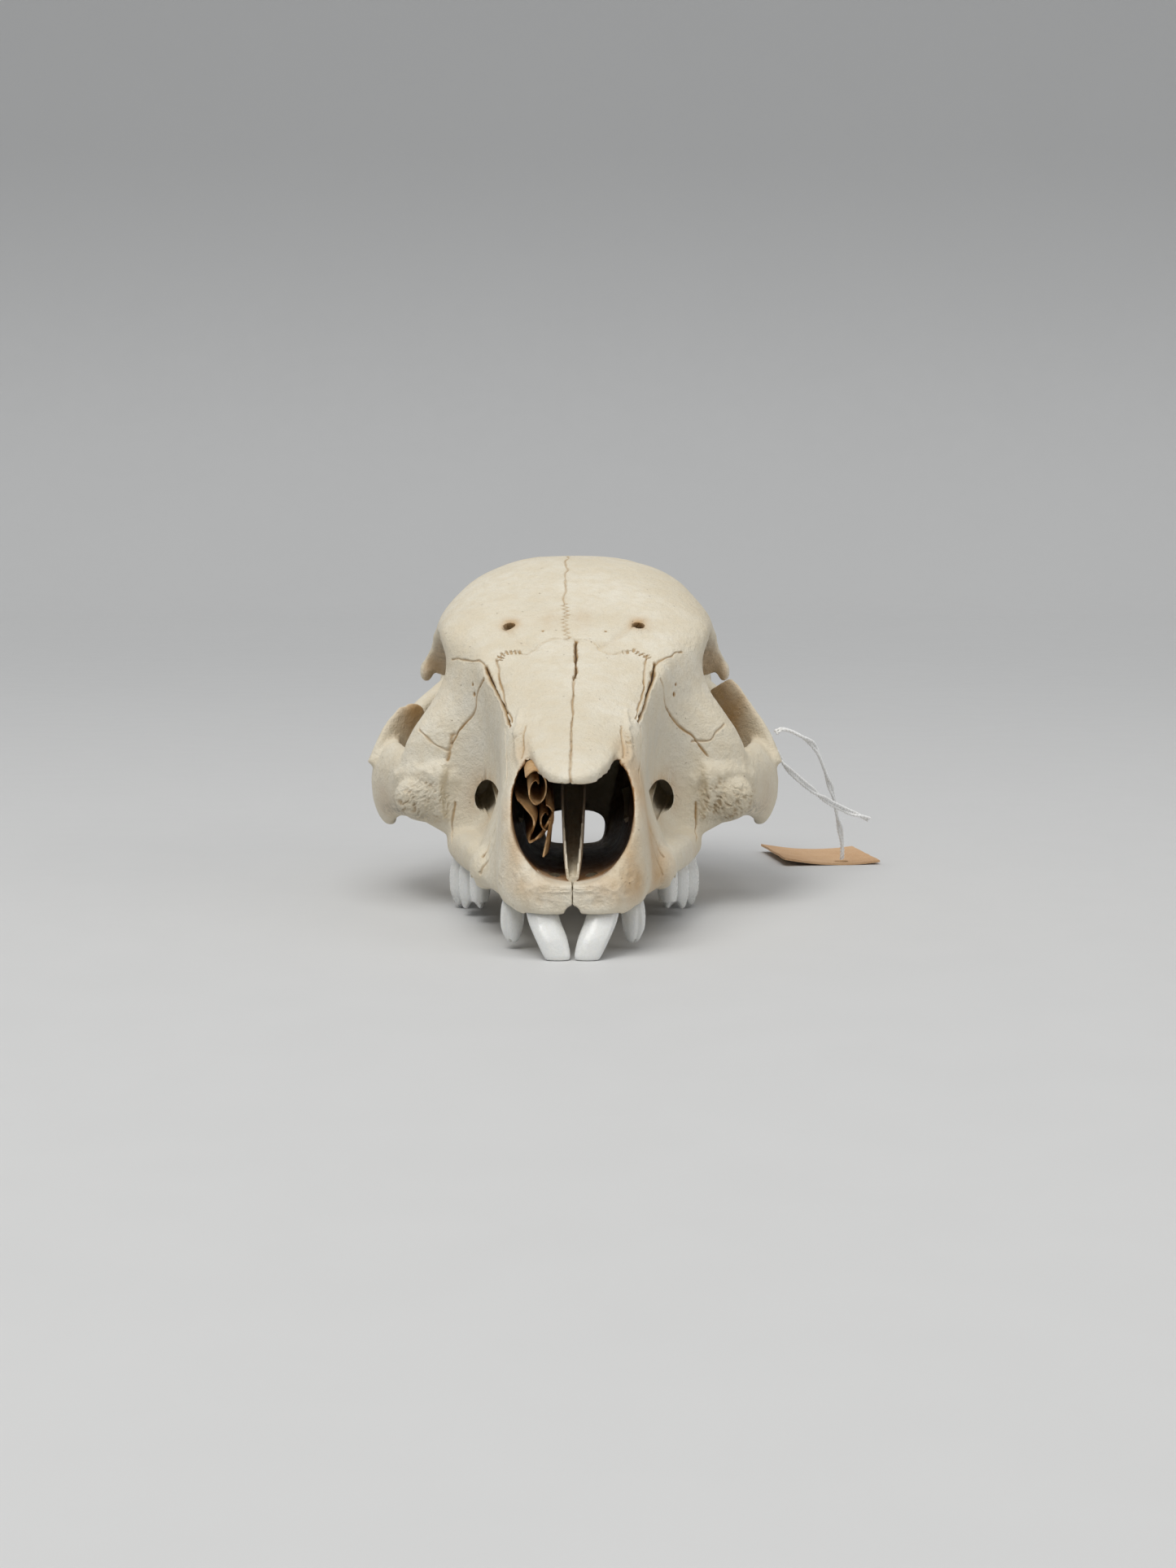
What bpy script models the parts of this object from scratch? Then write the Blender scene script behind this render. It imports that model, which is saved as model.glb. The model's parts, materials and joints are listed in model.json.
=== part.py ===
"""Feral piglet skull without its lower jaw, standing on its front teeth and the two processes under its
ears, with a small paper tag tied round the left cheek bone.

Millimetres in the tables, metres in Blender. X runs across the skull, +X to the viewer's right when the
snout faces the viewer, Y runs from the snout (-Y) to the back of the head (+Y), Z is up, and Z = 0 is the
surface that the teeth stand on. In the tables y counts from the tips of the front teeth.
"""

import math

import bmesh
import bpy
import numpy as np
from mathutils import Matrix

MM = 0.001

# Driving sizes, in millimetres
TEETH_TO_CENTRE = 65.5
SURFACE_STEP = 0.85
BONE_TRIANGLES_SHARE = 0.031
SOCKET_GAP = 0.35
RING_SPAN = 3
STATION_SPAN = 3
ARCH_SPAN = 4

# Outline of the skull's mass, half of it, from the middle of the roof round to the middle of the base.
# Each row: y, then eleven x, z pairs.
MASS_STATIONS = (
    (2.4, ((0, 12.6), (3, 12.6), (5, 12.3), (6.6, 11.8), (7.3, 11.2), (7.6, 10.4), (7.5, 9.4),
           (7.0, 8.5), (6, 7.9), (3, 7.6), (0, 7.8))),
    (5.5, ((0, 13.2), (3.4, 13.6), (6, 15.2), (8.0, 16.2), (9.2, 15.2), (9.9, 13.2), (10.2, 10.8),
           (9.8, 8.4), (8, 7.0), (4, 6.9), (0, 7.4))),
    (9, ((0, 21), (4, 21.6), (7.5, 22.6), (10.4, 22.4), (11.4, 20), (11.9, 16.5), (12.2, 12.5),
         (11.6, 9), (9.5, 7.5), (4.5, 7.5), (0, 8.2))),
    (13, ((0, 27.6), (4, 27.6), (7.6, 27.6), (10.2, 26.6), (11.9, 23.5), (12.5, 18), (12.9, 12.5),
          (12.2, 8.6), (9.8, 7.3), (5, 7.8), (0, 8.6))),
    (18, ((0, 32.6), (4, 32.4), (7.8, 31.8), (10.2, 29.8), (12.2, 25), (12.8, 19), (13.4, 13),
          (13, 9), (10.4, 7.4), (5, 8.2), (0, 8.9))),
    (26, ((0, 36.8), (4.5, 36.6), (8.4, 36), (10.9, 34), (12.2, 29), (13.1, 21), (15.2, 14.5),
          (16.4, 10.5), (13.4, 8), (6, 8.6), (0, 9.1))),
    (34, ((0, 40.0), (5, 39.8), (10, 39.2), (12.2, 37.6), (12.9, 32), (13.2, 23), (16.4, 15),
          (18.2, 11), (15.4, 8.4), (7, 8.9), (0, 9.3))),
    (42, ((0, 43.3), (6, 43.1), (12.0, 42.1), (13.7, 40.4), (13.9, 33.5), (13.7, 25), (15.8, 16.5),
          (19.2, 11.5), (17.4, 8.9), (8, 9.1), (0, 9.4))),
    (49, ((0, 46.4), (7, 46.1), (13.9, 45.2), (16.4, 43.8), (16.0, 37), (15.2, 27), (16.0, 18),
          (20.6, 12), (19, 9.1), (9, 9.2), (0, 9.5))),
    (54, ((0, 49.2), (7.5, 48.9), (15, 48), (18.0, 46.2), (18.4, 39.5), (18.6, 29.5), (18.2, 18),
          (22.0, 12.5), (20.3, 9.2), (9.5, 9.2), (0, 9.4))),
    (58.5, ((0, 51.4), (8, 51.1), (16, 50.2), (20.2, 47.6), (22.4, 40), (28.4, 31), (27.2, 18),
            (22.6, 12.6), (20.8, 9.2), (10, 9.2), (0, 9.3))),
    (63, ((0, 53.6), (8.4, 53.3), (17, 52.3), (22.6, 49.6), (24.2, 42), (32.0, 30.6), (32.4, 19.4),
          (22.6, 13), (20.8, 9.2), (10, 9.1), (0, 9.1))),
    (68, ((0, 56), (9, 55.7), (18, 54.8), (25.0, 51.8), (24.8, 45), (29.6, 32.6), (28, 22),
          (22, 13.6), (20.4, 9.3), (10, 8.9), (0, 8.9))),
    (74, ((0, 58.7), (9.6, 58.4), (19.2, 57), (25.9, 53), (25.8, 46.5), (25.4, 36), (21.6, 25),
          (19.4, 15), (16.8, 9.2), (9, 8.6), (0, 8.6))),
    (80, ((0, 61.2), (10, 60.8), (19.9, 58.8), (26.6, 53.6), (26.4, 47.6), (23.6, 38), (17, 28),
          (13.4, 17), (11.4, 9.8), (8.6, 8.8), (0, 9.2))),
    (86, ((0, 63.3), (10.4, 62.8), (20.2, 60.2), (26.3, 54.6), (26.4, 48), (23, 40), (17, 32),
          (11.5, 23), (9.6, 17), (8, 16), (0, 17.6))),
    (92, ((0, 64.9), (10.6, 64.3), (20.2, 61.2), (25.2, 55.2), (26.2, 48), (24.4, 39.5), (20.4, 32),
          (13.4, 26.6), (9.4, 24), (7, 23.4), (0, 23.6))),
    (100, ((0, 65.8), (10.8, 65.1), (19.8, 61.6), (24.8, 55.4), (26.4, 47.8), (25.6, 39.4), (22, 32),
           (15.4, 26.8), (10, 24.6), (6, 24), (0, 24))),
    (108, ((0, 65.9), (10.6, 65.0), (19.0, 61), (23.8, 54.4), (25.8, 46.4), (25.6, 38.2), (22.6, 31),
           (16.4, 26), (10.4, 23.8), (6, 23.2), (0, 23.2))),
    (115, ((0, 64.6), (9.8, 63.6), (17.4, 59), (21.8, 52.2), (24, 44.6), (24.4, 37), (22, 30),
           (16.6, 25), (10.6, 22.8), (6, 22), (0, 22))),
    (120.5, ((0, 61.6), (8.8, 60.6), (15.2, 56), (19, 49.6), (21.2, 42.6), (21.8, 35.8), (19.8, 29.6),
             (15.2, 25), (10, 22.6), (5.6, 22), (0, 22))),
    (124.5, ((0, 54), (7.2, 53), (12.4, 49.2), (15.4, 44.4), (17, 39.4), (17.4, 34.4), (16.2, 29.6),
             (12.8, 26), (9, 24), (5, 23.4), (0, 23.4))),
)

# The air inside the nose: y, then eight x, z pairs, from the middle of the roof to the middle of the floor
NOSE_STATIONS = (
    (-6, ((0, 28), (4, 28), (8.6, 28), (10, 24), (9.6, 19.6), (7.4, 16), (4.4, 13.2), (0, 12.6))),
    (3.5, ((0, 28), (4.2, 28), (8.6, 28), (10, 24.4), (9.5, 19.6), (7.3, 15.8), (4.4, 13.0), (0, 12.2))),
    (9, ((0, 29), (4.4, 29.6), (7.6, 30.4), (10.1, 26), (9.9, 20.4), (8, 16), (5, 13), (0, 12))),
    (14, ((0, 30.6), (4.8, 31), (7.9, 32.2), (10.1, 27), (10.2, 21.4), (8.6, 16.2), (5.4, 12.9),
          (0, 11.8))),
    (22, ((0, 33.2), (4.6, 33), (8, 31.8), (10.2, 27), (10.7, 22), (9.4, 16.4), (6, 12.6), (0, 11.6))),
    (32, ((0, 37), (5.4, 36.8), (9.4, 35.4), (11, 30), (11.0, 23), (9.8, 16.6), (6.6, 12.4), (0, 11.6))),
    (42, ((0, 40.8), (6.2, 40.6), (11, 38.8), (11.6, 32.4), (10.4, 24), (9.4, 17), (6.8, 12.4),
          (0, 11.6))),
    (52, ((0, 44.2), (7, 44), (12.6, 41.8), (12.8, 34), (10.8, 25), (9.4, 17.2), (6.8, 12.4), (0, 11.4))),
    (60, ((0, 44.8), (7, 44.4), (12.4, 41.6), (12.6, 34), (10.8, 25.6), (9.0, 17.6), (6.4, 12.2),
          (0, 11.0))),
    (66.5, ((0, 38), (5, 37.6), (8.8, 35), (9.2, 30), (8.6, 24), (7.2, 18), (5.8, 12.2), (0, 10.8))),
)

# The passage behind the nose, over the palate and out between the wings at the back of it
THROAT_STATIONS = (
    (60, ((0, 17.4), (3.4, 17.2), (5.4, 16.2), (5.9, 14.4), (5.7, 12.6), (5.0, 11.4), (2.6, 11.0),
          (0, 11.0))),
    (72, ((0, 17.6), (3.4, 17.4), (5.4, 16.4), (5.9, 14.4), (5.7, 12.4), (5.0, 11.0), (2.6, 10.5),
          (0, 10.4))),
    (79, ((0, 18.4), (3.6, 18.2), (5.8, 17), (6.3, 14.4), (6.2, 11.4), (5.8, 8.8), (3.2, 7.4), (0, 7.4))),
    (87, ((0, 22.2), (4, 22), (6.4, 20.6), (7.0, 17), (7.1, 12), (7, 6.6), (4, 4.4), (0, 4.4))),
    (97, ((0, 23.4), (4, 23.0), (6.4, 21.6), (7, 17), (7.2, 12), (7.2, 6.6), (4, 4.4), (0, 4.4))),
)

# The hollow for the brain, entered through the hole between the two joint knobs at the back
BRAIN_STATIONS = (
    (78, ((0, 52), (5, 51.4), (8, 48), (9, 43.6), (8, 39.2), (5, 36), (0, 35.4))),
    (84, ((0, 58), (8.6, 57), (15, 52.4), (17.4, 45.4), (14.6, 38), (8.6, 33.4), (0, 32.4))),
    (92, ((0, 61.2), (10.4, 60), (18.6, 54.6), (21.8, 46), (18.6, 36.6), (10.6, 30.6), (0, 29))),
    (101, ((0, 62.4), (10.8, 61.2), (19.4, 55.2), (22.8, 46), (19.8, 36), (11.4, 29.6), (0, 28))),
    (110, ((0, 61.8), (10, 60.4), (17.8, 54), (21.2, 45), (18.8, 35.4), (11, 28.8), (0, 27))),
    (117, ((0, 57.4), (7.6, 56), (13.4, 50.6), (15.8, 43), (14, 35), (8.4, 29), (0, 27))),
    (121.5, ((0, 49), (4.8, 47.8), (8, 43.8), (8.8, 38.6), (7.8, 33.4), (4.8, 29.4), (0, 28))),
    (132, ((0, 42.6), (4.2, 41.8), (7, 39), (7.6, 34.8), (6.6, 30.6), (4.2, 28.0), (0, 27.4))),
)

# The pair of nasal bones, a roof that runs out past the opening: y, half width, top, how far its edges
# drop, thickness
NASAL_STATIONS = (
    (5.4, 1.3, 29.9, 0.1, 1.2),
    (6.4, 2.8, 30.5, 0.4, 1.6),
    (8.6, 4.3, 31.4, 0.8, 2.0),
    (11, 5.3, 32.4, 1.1, 2.2),
    (14, 6.3, 33.4, 1.4, 2.3),
    (20, 7.5, 35.7, 1.8, 2.3),
    (28, 8.6, 38.8, 1.9, 2.3),
    (36, 10.4, 42.0, 1.9, 2.3),
    (44, 12.4, 45.3, 1.9, 2.3),
    (51, 14.0, 48.3, 1.9, 2.3),
    (56, 14.4, 50.6, 2.2, 2.3),
)

NASAL_POINTS = 15
NASAL_UNDERSIDE_SHARE = 0.96

# Cheek bone from the face, round the eye and jaw muscle, to the side of the head: x, y, z of its middle,
# half its height, half its thickness, and how far its lower and its upper edge curve in
ARCH_ROUTE = (
    (23.6, 57.0, 22.5, 5.6, 2.6, 0.0, 0.4),
    (30.2, 62.0, 22.8, 6.0, 2.6, 0.6, 1.0),
    (34.8, 69.0, 22.8, 6.6, 2.3, 1.2, 2.0),
    (37.6, 76.0, 22.2, 8.0, 2.0, 1.6, 2.8),
    (38.2, 82.5, 22.2, 9.0, 1.9, 1.8, 3.2),
    (37.8, 89.0, 24.0, 7.4, 1.9, 1.2, 2.6),
    (36.6, 94.5, 25.8, 5.4, 1.9, 0.4, 1.0),
    (34.6, 100.0, 28.8, 4.6, 2.1, 0.0, 0.2),
    (31.4, 105.0, 32.8, 4.2, 2.3, 0.0, 0.0),
    (26.4, 109.0, 36.8, 4.2, 2.8, 0.0, 0.0),
    (21.0, 111.0, 38.4, 4.6, 3.2, 0.0, 0.0),
)

# The spur that rises from the cheek bone behind the eye, taller on the right: x, y, z, half width along the
# skull, half thickness
CHEEK_SPUR = {
    -1: ((36.2, 79.4, 24.0, 6.2, 1.7), (34.8, 80.6, 29.6, 5.0, 1.3), (33.3, 81.8, 32.8, 4.3, 1.0),
         (32.0, 82.8, 35.2, 3.4, 0.85), (31.7, 83.2, 37.0, 1.5, 0.75)),
    1: ((36.2, 79.4, 24.0, 6.2, 1.7), (34.7, 80.9, 30.0, 5.2, 1.3), (32.2, 82.4, 34.8, 4.6, 1.0),
        (29.9, 83.6, 38.4, 4.6, 0.85), (28.8, 84.2, 40.8, 3.4, 0.75)),
}
CHEEK_SPUR_WAY = (0.72, -0.7, 0.0)

# The plate that hangs from the brow behind the eye: x, y, z, half width across the skull, half thickness
BROW_SPUR = (
    (20.5, 79.5, 51.6, 6.0, 2.4),
    (23.4, 83.4, 49.8, 4.8, 1.7),
    (25.3, 86.0, 46.8, 3.6, 1.2),
    (26.8, 87.6, 44.4, 3.4, 1.0),
    (27.4, 88.2, 42.8, 3.1, 0.85),
)

# Eye socket and the well for the jaw muscle behind it: middle x, y, z and half sizes
EYE_SOCKETS = (((30.5, 76.0, 38.6), (16.6, 11.6, 13.0)), ((23.0, 79.5, 37.0), (6.6, 8.6, 9.4)))
JAW_WELL = ((29.2, 86.5, 16.0), (10.2, 15.5, 21.0))
TEMPLE = ((35.0, 95.0, 43.0), (11.2, 12.0, 12.5))

# Small masses on each side: middle x, y, z and half sizes
EAR_CAPSULE = ((13.0, 107.0, 19.4), (4.6, 6.4, 7.6))
JOINT_KNOB = ((7.0, 126.4, 27.6), (4.0, 4.8, 6.2))
EAR_BOSS = ((24.4, 112.4, 41.0), (4.2, 5.0, 5.2))
CHEEK_PAD = ((27.6, 60.2, 20.8), (6.4, 4.0, 4.8))
BROW_TIP = ((29.7, 87.6, 43.2), (1.3, 1.7, 2.2))
CANINE_SWELLING = ((15.2, 30.0, 11.6), (3.2, 6.4, 4.0))

# Ridge that the cheek teeth grow from: x, y, z, half height, half width
TOOTH_RIDGE = (
    (15.6, 32.0, 11.8, 2.4, 2.4),
    (17.2, 40.0, 12.0, 2.9, 2.9),
    (18.8, 50.0, 12.2, 3.1, 3.7),
    (19.8, 60.0, 12.4, 3.2, 4.3),
    (19.4, 68.0, 12.5, 3.1, 3.8),
    (17.0, 74.0, 12.8, 2.4, 3.0),
)

# Process under each ear, down to the surface: x, y, z, half width along the skull, half width across
EAR_PROCESS = (
    (18.6, 114.5, 29.0, 5.6, 3.4),
    (18.8, 116.4, 20.0, 4.6, 2.7),
    (18.2, 117.8, 12.0, 3.6, 2.1),
    (17.4, 118.4, 5.0, 2.6, 1.7),
    (17.0, 118.4, -1.6, 2.0, 1.5),
)

# Wing at each side of the throat: x, y, z, half width along the skull, half thickness
PALATE_WING = (
    (9.2, 88.0, 27.0, 5.4, 1.3),
    (9.0, 86.0, 20.0, 4.8, 1.1),
    (8.9, 83.4, 14.0, 4.2, 1.0),
    (9.2, 82.0, 9.4, 2.6, 1.0),
    (9.8, 82.6, 7.4, 1.2, 0.8),
)

# Crest across the back of the head, half of it from the middle to above the ear: x, y, z, radius
NAPE_CREST = (
    (0, 122.0, 60.6, 2.6),
    (7.0, 122.2, 59.8, 2.6),
    (13.0, 121.0, 55.8, 2.4),
    (17.8, 118.6, 49.6, 2.2),
    (21.4, 115.8, 43.0, 2.2),
)

# Block under the surface that the skull stands on, which trims the ear processes flat: lowest and highest
# corner
UNDER_SURFACE = ((-30.0, 108.0, -8.0), (30.0, 128.0, 0.0))

# Holes: two points on each one's line, then half its height and half its width, and which way is up in it
CHEEK_HOLE = ((14.6, 40.0, 20.9), (18.2, 68.0, 23.4), 3.3, 2.0, (-0.3, 0.0, 1.0))
BROW_HOLE = ((13.2, 59.4, 55.2), (9.8, 72.2, 47.6), 1.2, 1.2, (0.0, 0.0, 1.0))
EAR_HOLE = ((31.0, 112.6, 42.6), (22.0, 111.0, 39.6), 1.7, 1.7, (0.0, 0.0, 1.0))
EMPTY_SOCKETS = (((17.2, 31.0, 7.4), (1.7, 2.5, 3.4)), ((12.4, 21.0, 6.6), (1.0, 1.4, 2.6)))
PALATE_SLOT = ((3.2, 17.5, 9.4), (1.3, 4.6, 4.4))

# Trough of thin bone that stands on the middle of the nose floor: y, half width, bottom, floor inside, top
TROUGH_STATIONS = (
    (8.5, 0.9, 11.6, 13.0, 13.6),
    (14, 1.3, 11.2, 13.6, 17.0),
    (24, 1.8, 11.0, 15.6, 22.0),
    (38, 2.1, 11.0, 20.0, 27.0),
    (54, 2.2, 11.0, 28.0, 31.0),
    (68, 2.2, 11.0, 33.0, 34.0),
)
TROUGH_WALL = 0.9

# Front teeth: x, y, z down the middle from the root to the worn edge, half width, half depth
FRONT_TEETH = {
    "incisor_1": ((7.6, 11.5, 13.0, 1.9, 1.9), (6.5, 8.2, 9.6, 2.3, 2.1), (5.2, 5.7, 7.4, 2.6, 2.0),
                  (4.55, 4.5, 5.6, 2.7, 1.9), (3.55, 2.8, 3.4, 2.65, 1.65), (2.65, 1.4, 1.0, 2.3, 1.25),
                  (2.4, 1.0, 0.0, 1.9, 0.95)),
    "incisor_2": ((9.4, 17.5, 12.4, 1.3, 1.5), (9.8, 15.4, 9.0, 1.9, 1.8), (10.2, 13.6, 6.6, 2.05, 1.8),
                  (10.3, 12.4, 3.8, 1.9, 1.5), (10.2, 11.9, 1.9, 1.2, 1.0), (10.2, 11.8, 1.2, 0.6, 0.6)),
}

FRONT_TOOTH_POINTS = 10
FRONT_TOOTH_SQUARENESS = 2.3

# Cheek teeth: middle x, y, tip height, half width, half length, cusps along and across
CHEEK_TEETH = {
    "premolar_2": (17.0, 41.0, 2.6, 1.9, 4.0, 1, 1),
    "premolar_3": (18.6, 50.0, 1.4, 2.8, 4.4, 2, 2),
    "premolar_4": (20.0, 60.4, 0.5, 3.7, 5.4, 2, 2),
}
CROWN_HEIGHT = 7.8
ROOT_HEIGHT = 3.4
CHEEK_TOOTH_POINTS = 12
CHEEK_TOOTH_SQUARENESS = 3.0
# Share of a cheek tooth's full width at the top of its root, at its neck, down its crown, where the first
# number is the height over the tip, and on its biting face
ROOT_SHARE = 0.74
NECK_SHARE = 0.86
CROWN_SHARES = ((5.2, 1.0), (3.2, 1.0), (1.8, 0.9))
BITING_SHARES = (0.62, 0.3)
CUSP_DEPTH = 1.5
CUSP_FLATNESS = 1.15
CUSP_SPACING = 0.8
CLEFT_SLOPE = 2.2
CLEFT_FLOOR = 0.25

# String round the right cheek bone, tied on its outer side, and the card at its end
STRING_RADIUS = 0.7
LOOP_AT_Y = 97.0
LOOP_CLEARANCE = 0.55
LOOP_HALF_WIDTH = 1.2
LOOP_HALF_DEPTH = 0.6
LOOP_POINTS = 18
LOOP_RING_POINTS = 8
KNOT = ((39.0, 97.0, 28.6), (1.3, 1.5, 1.5))
TAG_STRING_ROUTE = (
    (40.9, 97.3, 30.1), (42.6, 98.0, 30.7), (45.6, 100.0, 29.5), (49.1, 103.0, 27.1), (51.3, 106.0, 23.0),
    (53.0, 109.0, 18.9), (54.3, 111.5, 15.5), (55.3, 114.0, 11.5), (56.4, 117.0, 7.8), (57.1, 119.2, 4.2),
    (57.2, 120.1, 1.05),
)
STRING_ENDS_ROUTE = (
    (40.4, 98.0, 26.9), (41.6, 99.0, 25.2), (43.7, 100.5, 22.4), (46.8, 103.0, 19.5), (49.6, 105.5, 17.2),
    (53.1, 109.2, 14.6), (55.4, 110.9, 13.3), (58.2, 112.4, 11.9), (60.4, 113.5, 11.1),
    (62.2, 114.5, 10.2),
)
STRING_STEP = 2.6
TAG_CENTRE = (53.2, 129.0)
TAG_SIZE = (20.8, 24.0)
TAG_TURN = math.radians(8.0)
TAG_THICKNESS = 0.5
TAG_LOW_LINE = 2.6
TAG_CURL = 0.008
TAG_HOLE = (2.6, -9.2, 1.5)
TAG_HOLE_REACH = (-2.0, 3.0)
TAG_POINTS = 13

BONE = ("bone", (0.80, 0.73, 0.60), 0.55)
ENAMEL = ("enamel", (0.86, 0.85, 0.81), 0.25)
THREAD = ("thread", (0.80, 0.80, 0.80), 0.85)
CARD = ("card", (0.72, 0.52, 0.34), 0.75)


def smooth_rows(rows, span):
    """Rows of numbers on a Catmull-Rom curve through the given rows, with span steps between two of them."""
    rows = np.asarray(rows, float)
    padded = np.vstack([2 * rows[0] - rows[1], rows, 2 * rows[-1] - rows[-2]])
    at = np.linspace(0, len(rows) - 1, (len(rows) - 1) * span + 1)
    i = np.minimum(at.astype(int), len(rows) - 2)
    u = (at - i)[:, None]
    a, b, c, d = (padded[i + k] for k in range(4))
    return 0.5 * (2 * b + (c - a) * u + (2 * a - 5 * b + 4 * c - d) * u**2 + (3 * b - a - 3 * c + d) * u**3)


def smooth_ring(points, span):
    """A closed ring on a Catmull-Rom curve through the given points, with span steps between two of them."""
    points = np.asarray(points, float)
    i = np.repeat(np.arange(len(points)), span)
    u = np.tile(np.arange(span) / span, len(points))[:, None]
    a, b, c, d = (points[(i + k) % len(points)] for k in (-1, 0, 1, 2))
    return 0.5 * (2 * b + (c - a) * u + (2 * a - 5 * b + 4 * c - d) * u**2 + (3 * b - a - 3 * c + d) * u**3)


def material(slot):
    """The plain material of a slot: a Principled BSDF with the slot's colour and roughness."""
    name, colour, roughness = slot
    made = bpy.data.materials.get(name)
    if made is None:
        made = bpy.data.materials.new(name)
        made.use_nodes = True
        shader = made.node_tree.nodes["Principled BSDF"]
        shader.inputs["Base Color"].default_value = (*colour, 1.0)
        shader.inputs["Roughness"].default_value = roughness
        shader.inputs["Metallic"].default_value = 0.0
    return made


def place(name, mesh_bm, slot=None, collection=None, hidden=False):
    """Makes an object of a bmesh in millimetres, faces outwards, and moves it to the skull's frame."""
    bmesh.ops.triangulate(mesh_bm, faces=mesh_bm.faces[:])
    bmesh.ops.recalc_face_normals(mesh_bm, faces=mesh_bm.faces[:])
    bmesh.ops.transform(mesh_bm, matrix=Matrix.Scale(MM, 4), verts=mesh_bm.verts)
    bmesh.ops.translate(mesh_bm, vec=(0, -TEETH_TO_CENTRE * MM, 0), verts=mesh_bm.verts)
    mesh = bpy.data.meshes.new(name)
    mesh_bm.to_mesh(mesh)
    mesh_bm.free()
    obj = bpy.data.objects.new(name, mesh)
    (collection or bpy.context.scene.collection).objects.link(obj)
    if slot:
        mesh.materials.append(material(slot))
    if hidden:
        obj.hide_render = True
        obj.display_type = "WIRE"
    return obj


def loft(rings):
    """A bmesh skinned over closed rings of equal count, with both ends capped."""
    made = bmesh.new()
    rows = [[made.verts.new(point) for point in ring] for ring in rings]
    count = len(rows[0])
    for low, high in zip(rows, rows[1:]):
        for k in range(count):
            after = (k + 1) % count
            made.faces.new((low[k], low[after], high[after], high[k]))
    made.faces.new(rows[0])
    made.faces.new(rows[-1])
    return made


def mirrored_stations(table):
    """Closed rings of a body that is alike on both sides, from a table of half outlines along y."""
    flat = [[y, *np.ravel(half)] for y, half in table]
    rings = []
    for row in smooth_rows(flat, STATION_SPAN):
        half = row[1:].reshape(-1, 2)
        other = half[-2:0:-1] * (-1, 1)
        outline = smooth_ring(np.vstack([half, other]), RING_SPAN)
        rings.append([(x, row[0], z) for x, z in outline])
    return rings


def ellipse_ring(centre, across, up, half_across, half_up, count, squareness=2.0):
    """A ring of points round centre in the plane of two unit directions, squarer as squareness grows."""
    turn = np.linspace(0, math.tau, count, endpoint=False)
    c, s = np.cos(turn), np.sin(turn)
    a = np.sign(c) * np.abs(c) ** (2 / squareness) * half_across
    b = np.sign(s) * np.abs(s) ** (2 / squareness) * half_up
    return np.asarray(centre) + np.outer(a, across) + np.outer(b, up)


def unit(vector):
    """The vector at length one."""
    return np.asarray(vector, float) / np.linalg.norm(vector)


def swept(rows, side, up_hint, count=14, squareness=2.6, span=3):
    """A bar along rows of x, y, z, half size along up_hint, half size across. It mirrors to side -1."""
    rows = smooth_rows(rows, span)
    middle = rows[:, :3] * (side, 1, 1)
    along = np.gradient(middle, axis=0)
    rings = []
    for point, way, row in zip(middle, along, rows):
        forward = unit(way)
        hint = np.asarray(up_hint, float) * (side, 1, 1)
        up = unit(hint - forward * np.dot(hint, forward))
        across = np.cross(forward, up)
        rings.append(ellipse_ring(point, across, up, row[4], row[3], count, squareness))
    return loft(rings)


def ellipsoid(middle, half_sizes, side=1, segments=28, rings=16):
    """A closed ellipsoid, mirrored to side -1 by its middle alone."""
    made = bmesh.new()
    bmesh.ops.create_uvsphere(made, u_segments=segments, v_segments=rings, radius=1.0)
    bmesh.ops.scale(made, vec=half_sizes, verts=made.verts)
    bmesh.ops.translate(made, vec=(side * middle[0], middle[1], middle[2]), verts=made.verts)
    return made


def block(low, high):
    """A box from its lowest to its highest corner."""
    made = bmesh.new()
    bmesh.ops.create_cube(made, size=1.0)
    bmesh.ops.scale(made, vec=np.subtract(high, low), verts=made.verts)
    bmesh.ops.translate(made, vec=np.add(high, low) / 2, verts=made.verts)
    return made


def drilled(hole, side):
    """The bar that cuts a hole: an ellipse carried from its first point to its second."""
    start, end, half_up, half_across, up = hole
    rows = [(*start, half_up, half_across), (*end, half_up, half_across)]
    return swept(rows, side, up, count=10, squareness=2.0, span=1)


def arch_ring(row, way, side, grow=0.0, count=18):
    """The cheek bone's outline at one place: a tall rounded block whose edges curve in towards the skull."""
    up = np.array((0.0, 0.0, 1.0))
    across = unit(np.cross((way[0], way[1], 0.0), up))
    ring = ellipse_ring(row[:3] * (side, 1, 1), across, up, row[4] + grow, row[3] + grow, count, 3.0)
    height = (ring[:, 2] - row[2]) / row[3]
    ring[:, 0] -= side * np.where(height < 0, row[5], row[6]) * height**2
    return ring


def arch_bar(side):
    """The cheek bone's bar, tall and thin."""
    rows = smooth_rows(ARCH_ROUTE, ARCH_SPAN)
    along = np.gradient(rows[:, :3] * (side, 1, 1), axis=0)
    return loft([arch_ring(row, way, side) for row, way in zip(rows, along)])


def crest_bar():
    """The crest across the back of the head, as one round bar from ear to ear."""
    half = np.asarray(NAPE_CREST, float)
    rows = np.vstack([half[:0:-1] * (-1, 1, 1, 1), half])
    rows = smooth_rows(rows, 3)
    along = np.gradient(rows[:, :3], axis=0)
    rings = []
    for row, way in zip(rows, along):
        forward = unit(way)
        across = unit(np.cross(forward, (0, 1, 0)))
        back = np.cross(across, forward)
        rings.append(ellipse_ring(row[:3], across, back, row[3], row[3], 12))
    return loft(rings)


def nasal_roof():
    """The pair of nasal bones as one crowned plate that ends in a rounded tip over the opening."""
    rings = []
    for y, half, top, drop, thickness in smooth_rows(NASAL_STATIONS, 2):
        over = np.linspace(-1, 1, NASAL_POINTS)
        upper = [(half * t, y, top - drop * t * t) for t in over]
        under = half * NASAL_UNDERSIDE_SHARE
        lower = [(under * t, y, top - thickness - drop * t * t) for t in over[::-1]]
        rings.append(upper + lower)
    return loft(rings)


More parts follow.
